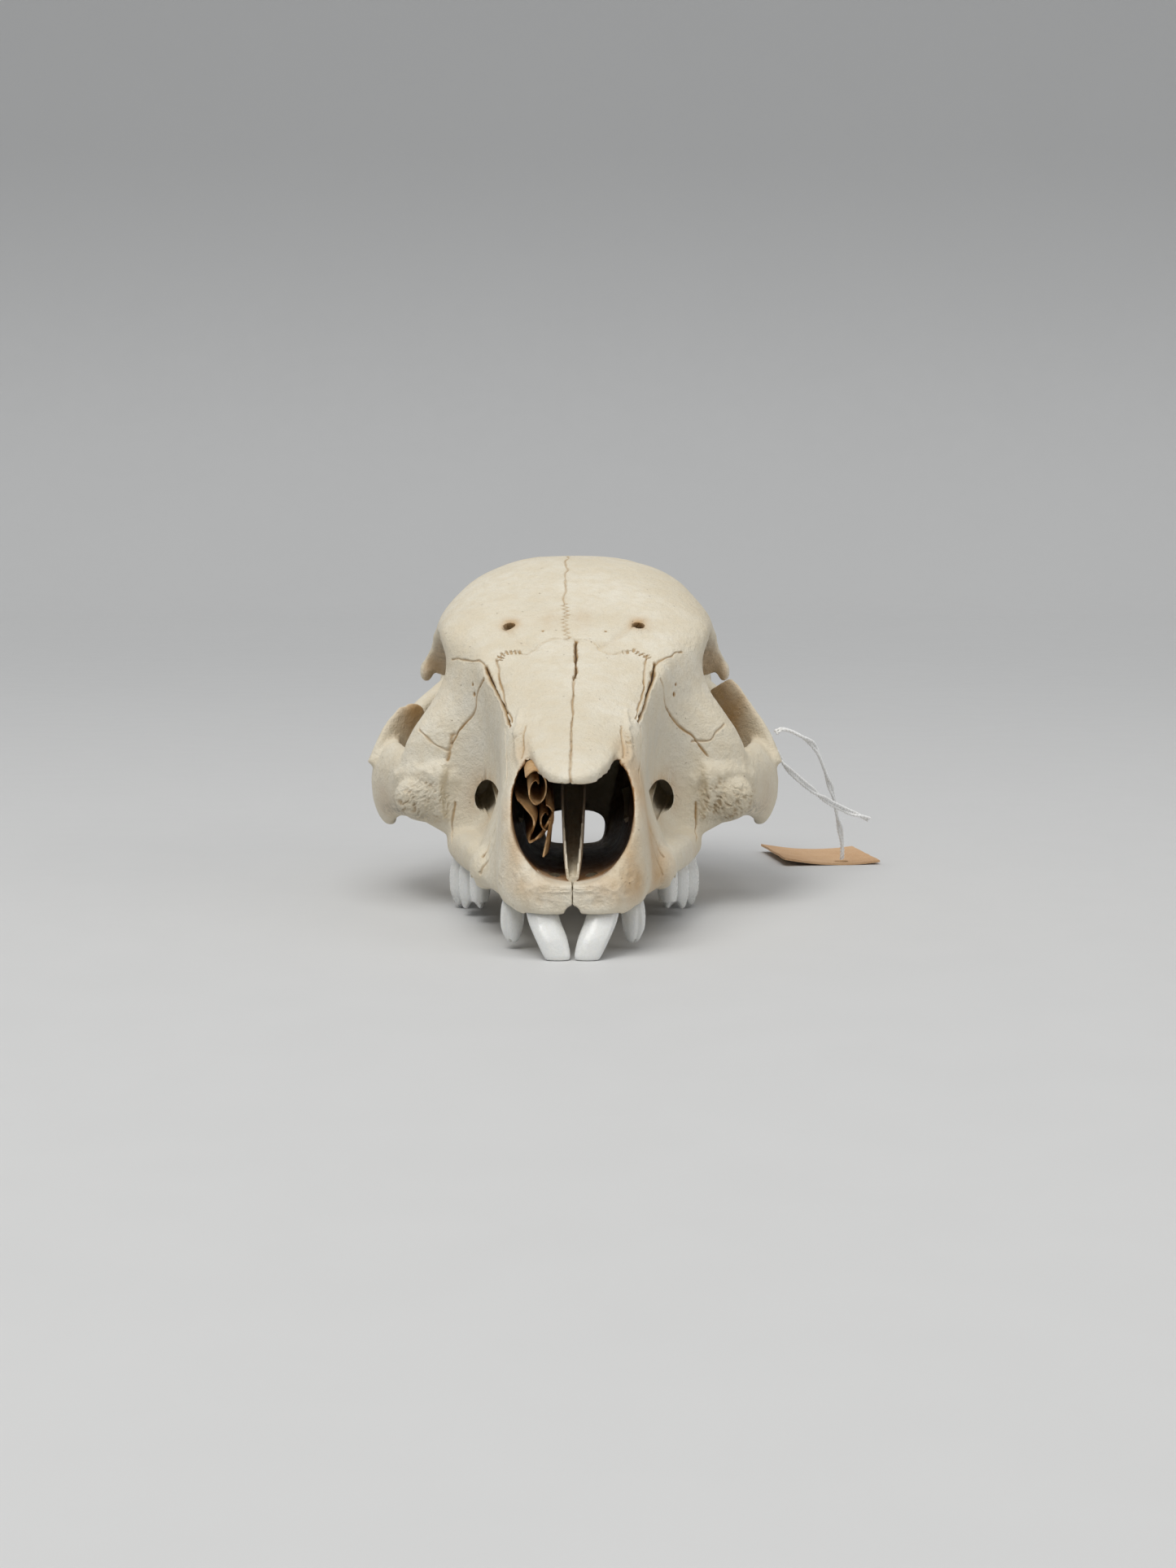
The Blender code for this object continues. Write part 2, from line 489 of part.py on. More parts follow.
def trough():
    """The trough of thin bone along the middle of the nose, as a U carried along y."""
    rings = []
    for y, half, bottom, floor, top in smooth_rows(TROUGH_STATIONS, 3):
        inner = half - min(TROUGH_WALL, half * 0.7)
        right = [(half, y, bottom + half), (half, y, top), (inner, y, top), (inner * 0.6, y, floor)]
        left = [(-x, y, z) for x, y, z in right[::-1]]
        rings.append([(0, y, bottom), *right, *left])
    return loft(rings)


def level_ring(middle, half_x, half_y, count, squareness):
    """A level rounded outline round a point."""
    return ellipse_ring(middle, (1, 0, 0), (0, 1, 0), half_x, half_y, count, squareness)


def front_tooth(rows, side, grow=0.0):
    """A front tooth as level ovals down its line, flat at its worn edge, grown by grow for its socket."""
    rings = []
    for x, y, z, half_wide, half_deep in smooth_rows(rows, 2):
        middle, wide, deep = (side * x, y, z), half_wide + grow, half_deep + grow
        rings.append(level_ring(middle, wide, deep, FRONT_TOOTH_POINTS, FRONT_TOOTH_SQUARENESS))
    if grow:
        rings[0][:, 2] += grow
    return loft(rings)


def cheek_tooth(size, side, grow=0.0):
    """A cheek tooth: a rounded block whose biting face, underneath, is raised into cusps."""
    x, y, tip, half_x, half_y, along, across = size
    neck = tip + CROWN_HEIGHT
    levels = [(neck + ROOT_HEIGHT + grow, ROOT_SHARE), (neck, NECK_SHARE)]
    levels += [(tip + height, share) for height, share in CROWN_SHARES]
    levels += [(0.0, share) for share in BITING_SHARES]
    rings = []
    for z, share in levels:
        wide, deep = half_x * share + grow, half_y * share + grow
        rings.append(level_ring((0, 0, z), wide, deep, CHEEK_TOOTH_POINTS, CHEEK_TOOTH_SQUARENESS))
    for ring in rings[-len(BITING_SHARES):]:
        u, v = ring[:, 0] / half_x, ring[:, 1] / half_y
        cusp = 1 - np.abs(v) if along == 1 else np.abs(np.sin(math.pi * v * CUSP_SPACING))
        if across > 1:
            cusp = cusp * np.clip(np.abs(u) * CLEFT_SLOPE, CLEFT_FLOOR, 1)
        ring[:, 2] = tip + CUSP_DEPTH * (1 - np.clip(cusp * CUSP_FLATNESS, 0, 1))
    return loft([ring + (side * x, y, 0) for ring in rings])


def string_loop():
    """The band of thread round the cheek bone: flat ovals carried round the bone's own outline."""
    rows = smooth_rows(ARCH_ROUTE, 8)
    at = int(np.argmin(np.abs(rows[:, 1] - LOOP_AT_Y)))
    along = np.gradient(rows[:, :3], axis=0)[at]
    path = arch_ring(rows[at], along, 1, LOOP_CLEARANCE + LOOP_HALF_DEPTH, LOOP_POINTS)
    middle = path.mean(axis=0)
    forward = unit(along)
    made = bmesh.new()
    rings = []
    for point in path:
        out = unit((point - middle) - forward * np.dot(point - middle, forward))
        ring = ellipse_ring(point, out, forward, LOOP_HALF_DEPTH, LOOP_HALF_WIDTH, LOOP_RING_POINTS)
        rings.append([made.verts.new(corner) for corner in ring])
    for here, there in zip(rings, rings[1:] + rings[:1]):
        for k in range(LOOP_RING_POINTS):
            made.faces.new((here[k - 1], here[k], there[k], there[k - 1]))
    return made


def paper_tag():
    """The card: a thin plate, turned a little, whose two side edges lift off the surface."""
    wide, long = TAG_SIZE
    u = np.linspace(-wide / 2, wide / 2, TAG_POINTS)
    rise = TAG_CURL * (u - TAG_LOW_LINE) ** 2
    rings = []
    for v in (-long / 2, long / 2):
        low = np.column_stack([u, np.full_like(u, v), rise])
        high = low[::-1] + (0, 0, TAG_THICKNESS)
        rings.append(np.vstack([low, high]))
    c, s = math.cos(TAG_TURN), math.sin(TAG_TURN)
    turn = np.array(((c, s, 0), (-s, c, 0), (0, 0, 1)))
    return loft([ring @ turn + (*TAG_CENTRE, 0) for ring in rings])


def cord_points(route):
    """Points every STRING_STEP along a smooth curve through a route."""
    fine = smooth_rows(route, 24)
    lengths = np.r_[0, np.cumsum(np.linalg.norm(np.diff(fine, axis=0), axis=1))]
    count = max(2, round(lengths[-1] / STRING_STEP)) + 1
    at = np.linspace(0, lengths[-1], count)
    return np.column_stack([np.interp(at, lengths, fine[:, k]) for k in range(3)])


def clear_scene():
    """Removes the objects that a new scene starts with."""
    for obj in list(bpy.data.objects):
        bpy.data.objects.remove(obj)


def helper(name, mesh_bm, helpers):
    """Makes an object that only shapes the skull, in a collection of helpers."""
    return place(name, mesh_bm, collection=helpers, hidden=True)


def group(name):
    """A collection of helpers for a Boolean, left out of the render."""
    made = bpy.data.collections.new(name)
    bpy.context.scene.collection.children.link(made)
    made.hide_render = True
    return made


def boolean(obj, name, operation, helpers):
    """Adds a Boolean of a whole collection to an object."""
    made = obj.modifiers.new(name, "BOOLEAN")
    made.operation = operation
    made.operand_type = "COLLECTION"
    made.collection = helpers
    made.solver = "EXACT"


def build_cranium():
    """The skull: one mass less its hollows, with its outgrowths, made one skin of bone, less its sockets."""
    hollows, outgrowths, sockets = (group(name) for name in ("hollows", "outgrowths", "sockets"))
    helper("nose", loft(mirrored_stations(NOSE_STATIONS)), hollows)
    helper("throat", loft(mirrored_stations(THROAT_STATIONS)), hollows)
    helper("brain", loft(mirrored_stations(BRAIN_STATIONS)), hollows)
    helper("crest", crest_bar(), outgrowths)
    helper("nasal_roof", nasal_roof(), outgrowths)
    helper("nose_trough", trough(), outgrowths)
    helper("under_surface", block(*UNDER_SURFACE), sockets)
    for side, word in ((-1, "left"), (1, "right")):
        for n, (middle, half) in enumerate(EYE_SOCKETS):
            helper(f"eye_socket_{n}_{word}", ellipsoid(middle, half, side), hollows)
        helper(f"jaw_well_{word}", ellipsoid(*JAW_WELL, side), hollows)
        helper(f"temple_{word}", ellipsoid(*TEMPLE, side), hollows)
        helper(f"arch_{word}", arch_bar(side), outgrowths)
        helper(f"cheek_spur_{word}", swept(CHEEK_SPUR[side], side, CHEEK_SPUR_WAY), outgrowths)
        helper(f"brow_spur_{word}", swept(BROW_SPUR, side, (1, 0, 0)), outgrowths)
        helper(f"ear_process_{word}", swept(EAR_PROCESS, side, (0, 1, 0)), outgrowths)
        helper(f"palate_wing_{word}", swept(PALATE_WING, side, (0, 1, 0)), outgrowths)
        helper(f"tooth_ridge_{word}", swept(TOOTH_RIDGE, side, (0, 0, 1)), outgrowths)
        for name, size in (("ear_capsule", EAR_CAPSULE), ("joint_knob", JOINT_KNOB), ("ear_boss", EAR_BOSS),
                           ("cheek_pad", CHEEK_PAD), ("brow_tip", BROW_TIP),
                           ("canine_swelling", CANINE_SWELLING)):
            helper(f"{name}_{word}", ellipsoid(*size, side), outgrowths)
        for n, (middle, half) in enumerate(EMPTY_SOCKETS):
            helper(f"empty_socket_{n}_{word}", ellipsoid(middle, half, side, 12, 8), sockets)
        helper(f"cheek_hole_{word}", drilled(CHEEK_HOLE, side), sockets)
        helper(f"brow_hole_{word}", drilled(BROW_HOLE, side), sockets)
        helper(f"ear_hole_{word}", drilled(EAR_HOLE, side), sockets)
        helper(f"palate_slot_{word}", ellipsoid(*PALATE_SLOT, side, 12, 8), sockets)
        for name, rows in FRONT_TEETH.items():
            grown = front_tooth(rows, side, SOCKET_GAP)
            helper(f"{name}_{word}_socket", grown, sockets)
        for name, size in CHEEK_TEETH.items():
            grown = cheek_tooth(size, side, SOCKET_GAP)
            helper(f"{name}_{word}_socket", grown, sockets)

    skull = place("cranium", loft(mirrored_stations(MASS_STATIONS)), slot=BONE)
    boolean(skull, "hollows", "DIFFERENCE", hollows)
    boolean(skull, "outgrowths", "UNION", outgrowths)
    skin = skull.modifiers.new("skin", "REMESH")
    skin.mode = "VOXEL"
    skin.voxel_size = SURFACE_STEP * MM
    soften = skull.modifiers.new("soften", "SMOOTH")
    soften.factor = 0.5
    soften.iterations = 4
    lighten = skull.modifiers.new("lighten", "DECIMATE")
    lighten.ratio = BONE_TRIANGLES_SHARE
    boolean(skull, "sockets", "DIFFERENCE", sockets)
    return skull


def build_teeth():
    """The ten teeth that are still in the skull, each loose in its socket by a hair."""
    for side, word in ((-1, "left"), (1, "right")):
        for name, rows in FRONT_TEETH.items():
            place(f"{name}_{word}", front_tooth(rows, side), slot=ENAMEL)
        for name, size in CHEEK_TEETH.items():
            place(f"{name}_{word}", cheek_tooth(size, side), slot=ENAMEL)


def build_string():
    """The thread round the cheek bone with its knot, and the two doubled threads that leave the knot."""
    loop = place("string_loop", string_loop(), slot=THREAD)
    knots = group("knots")
    helper("knot", ellipsoid(*KNOT, segments=12, rings=8), knots)
    boolean(loop, "knot", "UNION", knots)
    for name, route in (("tag_string", TAG_STRING_ROUTE), ("string_ends", STRING_ENDS_ROUTE)):
        curve = bpy.data.curves.new(name, "CURVE")
        curve.dimensions = "3D"
        curve.bevel_depth = STRING_RADIUS * MM
        curve.bevel_resolution = 2
        curve.use_fill_caps = True
        points = (cord_points(route) - (0, TEETH_TO_CENTRE, 0)) * MM
        spline = curve.splines.new("POLY")
        spline.points.add(len(points) - 1)
        for point, place_at in zip(spline.points, points):
            point.co = (*place_at, 1.0)
        curve.materials.append(material(THREAD))
        bpy.context.scene.collection.objects.link(bpy.data.objects.new(name, curve))


def build_tag():
    """The bare card with the hole that the thread goes through."""
    tag = place("paper_tag", paper_tag(), slot=CARD)
    u, v, radius = TAG_HOLE
    c, s = math.cos(TAG_TURN), math.sin(TAG_TURN)
    x = TAG_CENTRE[0] + u * c - v * s
    y = TAG_CENTRE[1] + u * s + v * c
    rings = [level_ring((x, y, z), radius, radius, 12, 2.0) for z in TAG_HOLE_REACH]
    holes = group("tag_holes")
    helper("tag_hole", loft(rings), holes)
    boolean(tag, "hole", "DIFFERENCE", holes)


def main():
    clear_scene()
    build_cranium()
    build_teeth()
    build_string()
    build_tag()


main()
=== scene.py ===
"""Skull of a young feral pig without its lower jaw, with a bare card tag on a thread: the looks.

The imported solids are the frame. The bones are skinned again from the same tables with a finer skin, then
seams, pores, rough patches and stains are worked out on their points. Tables are in millimetres, with x
across the skull, y from the tips of the front teeth to the back of the head, and z up. Meshes are in metres
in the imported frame.
"""
import json
import logging
import math
from dataclasses import dataclass, field
from enum import Enum

import bpy
import numpy as np
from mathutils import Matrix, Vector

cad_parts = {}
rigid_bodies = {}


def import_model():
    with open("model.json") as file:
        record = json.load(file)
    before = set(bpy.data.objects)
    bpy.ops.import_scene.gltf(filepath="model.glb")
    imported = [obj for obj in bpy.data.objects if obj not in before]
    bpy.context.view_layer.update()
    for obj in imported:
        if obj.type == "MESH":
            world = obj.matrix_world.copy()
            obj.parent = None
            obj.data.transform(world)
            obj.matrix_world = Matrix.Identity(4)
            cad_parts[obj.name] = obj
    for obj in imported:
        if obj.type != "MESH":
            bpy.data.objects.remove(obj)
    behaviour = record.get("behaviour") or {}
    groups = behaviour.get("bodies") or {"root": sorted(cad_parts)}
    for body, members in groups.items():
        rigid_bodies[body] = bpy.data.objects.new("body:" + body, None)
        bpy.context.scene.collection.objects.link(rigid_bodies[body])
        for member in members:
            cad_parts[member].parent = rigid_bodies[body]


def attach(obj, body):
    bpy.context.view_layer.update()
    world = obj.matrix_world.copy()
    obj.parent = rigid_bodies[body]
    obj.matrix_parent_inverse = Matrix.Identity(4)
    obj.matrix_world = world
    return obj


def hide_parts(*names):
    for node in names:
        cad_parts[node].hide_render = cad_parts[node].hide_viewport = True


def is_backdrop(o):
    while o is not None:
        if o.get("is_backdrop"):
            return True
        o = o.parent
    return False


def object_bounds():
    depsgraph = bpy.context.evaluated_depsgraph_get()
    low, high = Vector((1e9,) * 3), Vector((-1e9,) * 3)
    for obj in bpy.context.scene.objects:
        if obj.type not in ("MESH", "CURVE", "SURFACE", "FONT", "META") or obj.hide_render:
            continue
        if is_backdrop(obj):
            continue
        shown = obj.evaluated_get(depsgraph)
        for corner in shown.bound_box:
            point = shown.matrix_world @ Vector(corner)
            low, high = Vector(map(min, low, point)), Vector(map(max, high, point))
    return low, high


for old in list(bpy.data.objects):
    bpy.data.objects.remove(old)
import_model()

Array = np.ndarray
Rows = tuple
log = logging.getLogger("skull")

MM = 0.001
TEETH_TO_CENTRE = 65.5
SIDES = ((-1, "left"), (1, "right"))


# Curves, rings and surfaces

def smooth_rows(rows: Rows | Array, span: int) -> Array:
    """Rows on a Catmull-Rom curve: 0.5 (2b + (c-a)u + (2a-5b+4c-d)u2 + (3b-a-3c+d)u3) between rows b and c.

    Args:
        rows: the rows that the curve passes.
        span: steps between two of them.

    Returns:
        The finer rows.
    """
    rows = np.asarray(rows, float)
    padded = np.vstack([2 * rows[0] - rows[1], rows, 2 * rows[-1] - rows[-2]])
    at = np.linspace(0, len(rows) - 1, (len(rows) - 1) * span + 1)
    i = np.minimum(at.astype(int), len(rows) - 2)
    return catmull(*(padded[i + k] for k in range(4)), (at - i)[:, None])


def smooth_ring(points: Array, span: int) -> Array:
    """A closed ring on the same curve, with span steps between two of the given points."""
    i = np.repeat(np.arange(len(points)), span)
    u = np.tile(np.arange(span) / span, len(points))[:, None]
    return catmull(*(points[(i + k) % len(points)] for k in (-1, 0, 1, 2)), u)


def catmull(a: Array, b: Array, c: Array, d: Array, u: Array) -> Array:
    """The Catmull-Rom cubic from b to c, at share u of the way."""
    return 0.5 * (2 * b + (c - a) * u + (2 * a - 5 * b + 4 * c - d) * u**2 + (3 * b - a - 3 * c + d) * u**3)


def unit(vectors: Array) -> Array:
    """Vectors divided by their lengths."""
    return vectors / np.maximum(np.linalg.norm(vectors, axis=-1, keepdims=True), 1e-12)


def evenly(path: Array, step: float) -> Array:
    """Points about step apart along a path, by straight interpolation over its running length."""
    run = np.r_[0, np.cumsum(np.linalg.norm(np.diff(path, axis=0), axis=1))]
    at = np.linspace(0, run[-1], max(2, round(run[-1] / step)) + 1)
    return np.column_stack([np.interp(at, run, path[:, k]) for k in range(3)])


def inside_box(points: Array, route: Array, reach: float) -> Array:
    """Which points lie in the box round a route, widened by reach."""
    return ((points > route.min(axis=0) - reach) & (points < route.max(axis=0) + reach)).all(axis=1)


def nearest(points: Array, others: Array) -> tuple[Array, Array]:
    """Index of the nearest of the others for each point, and its distance, as |p|2 - 2 p.q + |q|2 in blocks.

    Args:
        points: where to look from.
        others: what to look for.

    Returns:
        The index and the distance, for each point.
    """
    block_size = max(1, 4_000_000 // len(others))
    squares = (others**2).sum(axis=1)
    found, gaps = [np.empty(0, int)], [np.empty(0)]
    for start in range(0, len(points), block_size):
        here = points[start:start + block_size]
        table = squares - 2 * here @ others.T
        k = table.argmin(axis=1)
        found.append(k)
        gaps.append(np.sqrt(np.maximum(table[np.arange(len(here)), k] + (here**2).sum(axis=1), 0)))
    return np.concatenate(found), np.concatenate(gaps)


def placed(points: Array) -> Array:
    """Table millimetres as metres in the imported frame."""
    return (np.asarray(points, float) - (0, TEETH_TO_CENTRE, 0)) * MM


@dataclass
class Surface:
    """A mesh being worked out: points in millimetres, and arrays of faces with three or four corners each."""

    points: Array
    faces: list[Array]

    def volume(self) -> float:
        """Six times the volume inside, as the sum of a . (b x c) over triangles."""
        total = 0.0
        for faces in self.faces:
            for k in range(1, faces.shape[1] - 1):
                a, b, c = (self.points[faces[:, n]] for n in (0, k, k + 1))
                total += float(np.einsum("ij,ij->i", a, np.cross(b, c)).sum())
        return total

    def outwards(self) -> "Surface":
        """The same surface with its faces turned so that they look outwards."""
        if self.volume() < 0:
            self.faces = [faces[:, ::-1] for faces in self.faces]
        return self

    def normals(self) -> Array:
        """Unit normals of the points: the sum of (b-a) x (c-a) over the triangles that meet there."""
        total = np.zeros_like(self.points)
        for faces in self.faces:
            for k in range(1, faces.shape[1] - 1):
                corners = faces[:, (0, k, k + 1)]
                a, b, c = (self.points[corners[:, n]] for n in range(3))
                flat = np.cross(b - a, c - a)
                for n in range(3):
                    for axis in range(3):
                        total[:, axis] += np.bincount(corners[:, n], flat[:, axis], len(total))
        return unit(total)


def joined(parts: list[Surface]) -> Surface:
    """Several closed surfaces as one."""
    starts = np.cumsum([0] + [len(part.points) for part in parts])
    faces = [faces + start for part, start in zip(parts, starts) for faces in part.faces]
    return Surface(np.vstack([part.points for part in parts]), faces)


def grid_faces(rows: int, count: int, around: bool, along: bool = False) -> Array:
    """Four-cornered faces of a grid of points, closed round its columns and along its rows if asked."""
    i = np.arange(rows if along else rows - 1)[:, None]
    k = np.arange(count if around else count - 1)[None, :]
    i, k = np.broadcast_arrays(i, k)
    corners = [(i, k), (i, k + 1), (i + 1, k + 1), (i + 1, k)]
    return np.stack([(a % rows) * count + b % count for a, b in corners], axis=-1).reshape(-1, 4)


def lofted(rings: Array) -> Surface:
    """A skin over closed rings of equal count, each end closed by a fan to its middle.

    Args:
        rings: points as rows of rings, (rings, points, 3).

    Returns:
        The closed surface, facing outwards.
    """
    rows, count = rings.shape[:2]
    points = np.vstack([rings.reshape(-1, 3), rings[0].mean(axis=0), rings[-1].mean(axis=0)])
    k = np.arange(count)
    low = np.column_stack([(k + 1) % count, k, np.full(count, rows * count)])
    high = np.column_stack([k, (k + 1) % count, np.full(count, rows * count + 1)]) + (
        (rows - 1) * count, (rows - 1) * count, 0)
    return Surface(points, [grid_faces(rows, count, True), np.vstack([low, high])]).outwards()


def shell(grid: Array, thickness: Array | float, around: bool = False) -> Surface:
    """A thin closed sheet: the grid moved half a thickness both ways along its normal, joined at its rims.

    Args:
        grid: points of the middle surface, (rows, columns, 3).
        thickness: of the whole grid or of each point.
        around: whether the columns run round and close.

    Returns:
        The closed surface, facing outwards.
    """
    rows, count = grid.shape[:2]
    across = np.roll(grid, -1, 1) - np.roll(grid, 1, 1) if around else np.gradient(grid, axis=1)
    normal = unit(np.cross(np.gradient(grid, axis=0), across))
    half = np.broadcast_to(np.asarray(thickness, float), (rows, count))[..., None] / 2
    points = np.vstack([(grid + normal * half).reshape(-1, 3), (grid - normal * half).reshape(-1, 3)])
    top = grid_faces(rows, count, around)
    n = rows * count
    index = np.arange(n).reshape(rows, count)
    if around:
        rims = [np.r_[index[0], index[0][:1]], np.r_[index[-1], index[-1][:1]][::-1]]
    else:
        rims = [np.r_[index[0], index[1:, -1], index[-1, -2::-1], index[-2::-1, 0]]]
    walls = [np.column_stack([rim[1:], rim[:-1], rim[:-1] + n, rim[1:] + n]) for rim in rims]
    return Surface(points, [top, top[:, ::-1] + n, *walls]).outwards()


def ovals(centres: Array, across: Array, up: Array, half_across: Array, half_up: Array, count: int,
          squareness: float = 2.0) -> Array:
    """Rings round centres: across a |cos t|^(2/s) + up b |sin t|^(2/s), with the signs of cos and sin.

    Args:
        centres: middle of each ring, (rings, 3).
        across: unit direction of the first half size, one or one for each ring.
        up: unit direction of the second.
        half_across: first half size of each ring.
        half_up: second half size of each ring.
        count: points on a ring.
        squareness: 2 for an ellipse, more for a rounded block.

    Returns:
        The rings, (rings, count, 3).
    """
    turn = np.arange(count) * (math.tau / count)
    c, s = np.cos(turn), np.sin(turn)
    a = np.sign(c) * np.abs(c) ** (2 / squareness)
    b = np.sign(s) * np.abs(s) ** (2 / squareness)
    centres = np.atleast_2d(np.asarray(centres, float))
    across, up = (np.broadcast_to(np.asarray(way, float), centres.shape)[:, None] for way in (across, up))
    wide, tall = (np.broadcast_to(half, len(centres))[:, None, None] for half in (half_across, half_up))
    return centres[:, None] + a[None, :, None] * wide * across + b[None, :, None] * tall * up


def swept(rows: Rows, side: int, up_hint: tuple, count: int = 24, squareness: float = 2.6,
          span: int = 6) -> Surface:
    """A bar along rows of x, y, z, half size along up_hint, half size across, mirrored to side -1."""
    rows = smooth_rows(rows, span)
    middle = rows[:, :3] * (side, 1, 1)
    forward = unit(np.gradient(middle, axis=0))
    hint = np.asarray(up_hint, float) * (side, 1, 1)
    up = unit(hint - forward * (forward @ hint)[:, None])
    return lofted(ovals(middle, np.cross(forward, up), up, rows[:, 4], rows[:, 3], count, squareness))


def ellipsoid(middle: tuple, half: tuple, side: int = 1, rings: int = 26, count: int = 40) -> Surface:
    """A closed ellipsoid: level ovals whose size follows the sine of the angle from the pole."""
    turn = np.linspace(0.06, math.pi - 0.06, rings)
    centre = np.column_stack([np.full(rings, side * middle[0]), np.full(rings, middle[1]),
                              middle[2] + half[2] * np.cos(turn)])
    return lofted(ovals(centre, (1, 0, 0), (0, 1, 0), half[0] * np.sin(turn), half[1] * np.sin(turn), count))


def block(low: tuple, high: tuple) -> Surface:
    """A box from its lowest to its highest corner."""
    low, high = np.asarray(low, float), np.asarray(high, float)
    base = np.array([(0, 0), (1, 0), (1, 1), (0, 1)])
    rings = np.array([np.column_stack([base, np.full(4, z)]) for z in (0, 1)])
    return lofted(low + rings * (high - low))


def tube(path: Array, radii: Array, start: Array | None = None, closed: bool = False) -> Surface:
    """A tube round a path, whose outline may change along it.

    Each ring lies in the plane across the path, in a frame carried along with the least turning.

    Args:
        path: points of the middle line, (n, 3).
        radii: radius for each ring and point round it, (n, count).
        start: a direction for the first ring's zero angle.
        closed: whether the path runs back to its start.

    Returns:
        The closed surface, facing outwards.
    """
    forward = unit((np.roll(path, -1, 0) - np.roll(path, 1, 0)) if closed else np.gradient(path, axis=0))
    up = np.zeros_like(path)
    hint = np.array((0.0, 0.0, 1.0)) if start is None else start
    if abs(forward[0] @ unit(hint)) > 0.95:
        hint = np.array((1.0, 0.0, 0.0))
    for n, way in enumerate(forward):
        hint = unit(hint - way * (hint @ way))
        up[n] = hint
    turn = np.arange(radii.shape[1]) * (math.tau / radii.shape[1])
    side = np.cross(forward, up)
    rings = path[:, None] + radii[..., None] * (np.cos(turn)[None, :, None] * up[:, None]
                                                + np.sin(turn)[None, :, None] * side[:, None])
    if closed:
        return Surface(rings.reshape(-1, 3), [grid_faces(*radii.shape, True, True)]).outwards()
    return lofted(rings)


# Noise on points

def lattice(cells: Array, seed: int) -> Array:
    """A fixed number from 0 to 1 for each whole-number cell, by multiplying and mixing its three integers."""
    c = cells.astype(np.int64).astype(np.uint32)
    h = c[..., 0] * np.uint32(73856093) ^ c[..., 1] * np.uint32(19349663) ^ c[..., 2] * np.uint32(83492791)
    h ^= np.uint32(seed * 7919 + 17)
    for _ in range(2):
        h ^= h >> np.uint32(15)
        h = h * np.uint32(2246822519)
        h ^= h >> np.uint32(13)
    return h / 4294967295.0


def wavy(points: Array, size: float, seed: int = 0, octaves: int = 1) -> Array:
    """Smooth noise from -1 to 1: corner values of a cubic lattice blended by 3t2 - 2t3, in octaves.

    Args:
        points: where it is wanted, (n, 3).
        size: the lattice's step, in the points' unit.
        seed: which noise.
        octaves: how many, each half as large and half as strong.

    Returns:
        One value for each point.
    """
    total, weight = np.zeros(len(points)), 0.0
    for octave in range(octaves):
        scaled = points / (size / 2**octave)
        low = np.floor(scaled)
        t = scaled - low
        t = t * t * (3 - 2 * t)
        value = np.zeros(len(points))
        for corner in np.ndindex(2, 2, 2):
            share = np.prod(np.where(corner, t, 1 - t), axis=1)
            value += share * lattice(low + corner, seed + octave * 101)
        total += (value * 2 - 1) / 2**octave
        weight += 1 / 2**octave
    return total / weight


def grains(points: Array, size: float, seed: int = 0) -> tuple[Array, Array]:
    """Distances to the nearest and second nearest of points strewn one to a cell, in cell sizes."""
    scaled = points / size
    low = np.floor(scaled)
    first = np.full(len(points), 9.0)
    second = first.copy()
    for corner in np.ndindex(3, 3, 3):
        cell = low + corner - 1
        seed_point = cell + np.column_stack([lattice(cell, seed + n) for n in (1, 2, 3)])
        gap = np.linalg.norm(seed_point - scaled, axis=1)
        second = np.minimum(second, np.maximum(first, gap))
        first = np.minimum(first, gap)
    return first, second


def spot(points: Array, middle: tuple, half: tuple, side: int = 1) -> Array:
    """A soft patch: exp(-d2), with d the distance from its middle in half sizes."""
    gap = (points - np.asarray(middle) * (side, 1, 1)) / half
    return np.exp(-np.einsum("ij,ij->i", gap, gap))


def ramp(values: Array, low: float, high: float) -> Array:
    """0 below low, 1 above high, and a smooth step between."""
    t = np.clip((values - low) / (high - low), 0, 1)
    return t * t * (3 - 2 * t)


# Meshes and objects

def fill_mesh(mesh: bpy.types.Mesh, points: Array, faces: list[Array]) -> None:
    """Puts points, in metres, and faces into an empty mesh as whole arrays."""
    sizes = np.concatenate([np.full(len(part), part.shape[1]) for part in faces])
    corners = np.concatenate([part.ravel() for part in faces])
    mesh.vertices.add(len(points))
    mesh.vertices.foreach_set("co", np.ascontiguousarray(points, np.float32).ravel())
    mesh.loops.add(len(corners))
    mesh.loops.foreach_set("vertex_index", corners.astype(np.int32))
    mesh.polygons.add(len(sizes))
    mesh.polygons.foreach_set("loop_start", np.r_[0, np.cumsum(sizes)[:-1]].astype(np.int32))
    mesh.update(calc_edges=True)
    mesh.validate()


def add_piece(name: str, surface: Surface, finish: bpy.types.Material | None = None,
              sharp: float = 60.0) -> bpy.types.Object:
    """Makes an object of a surface in table millimetres.

    Args:
        name: the object's name.
        surface: its points and faces.
        finish: its material.
        sharp: edges that turn by more degrees than this stay sharp.

    Returns:
        The object, at the origin, with its place in its mesh.
    """
    mesh = bpy.data.meshes.new(name)
    fill_mesh(mesh, placed(surface.points), surface.faces)
    mesh.shade_smooth()
    mesh.set_sharp_from_angle(angle=math.radians(sharp))
    if finish:
        mesh.materials.append(finish)
    piece = bpy.data.objects.new(name, mesh)
    bpy.context.scene.collection.objects.link(piece)
    return piece


def set_values(piece: bpy.types.Object, name: str, values: Array) -> None:
    """Stores one number for each point of a piece, for its material to read."""
    made = piece.data.attributes.new(name, "FLOAT", "POINT")
    made.data.foreach_set("value", np.ascontiguousarray(values, np.float32))


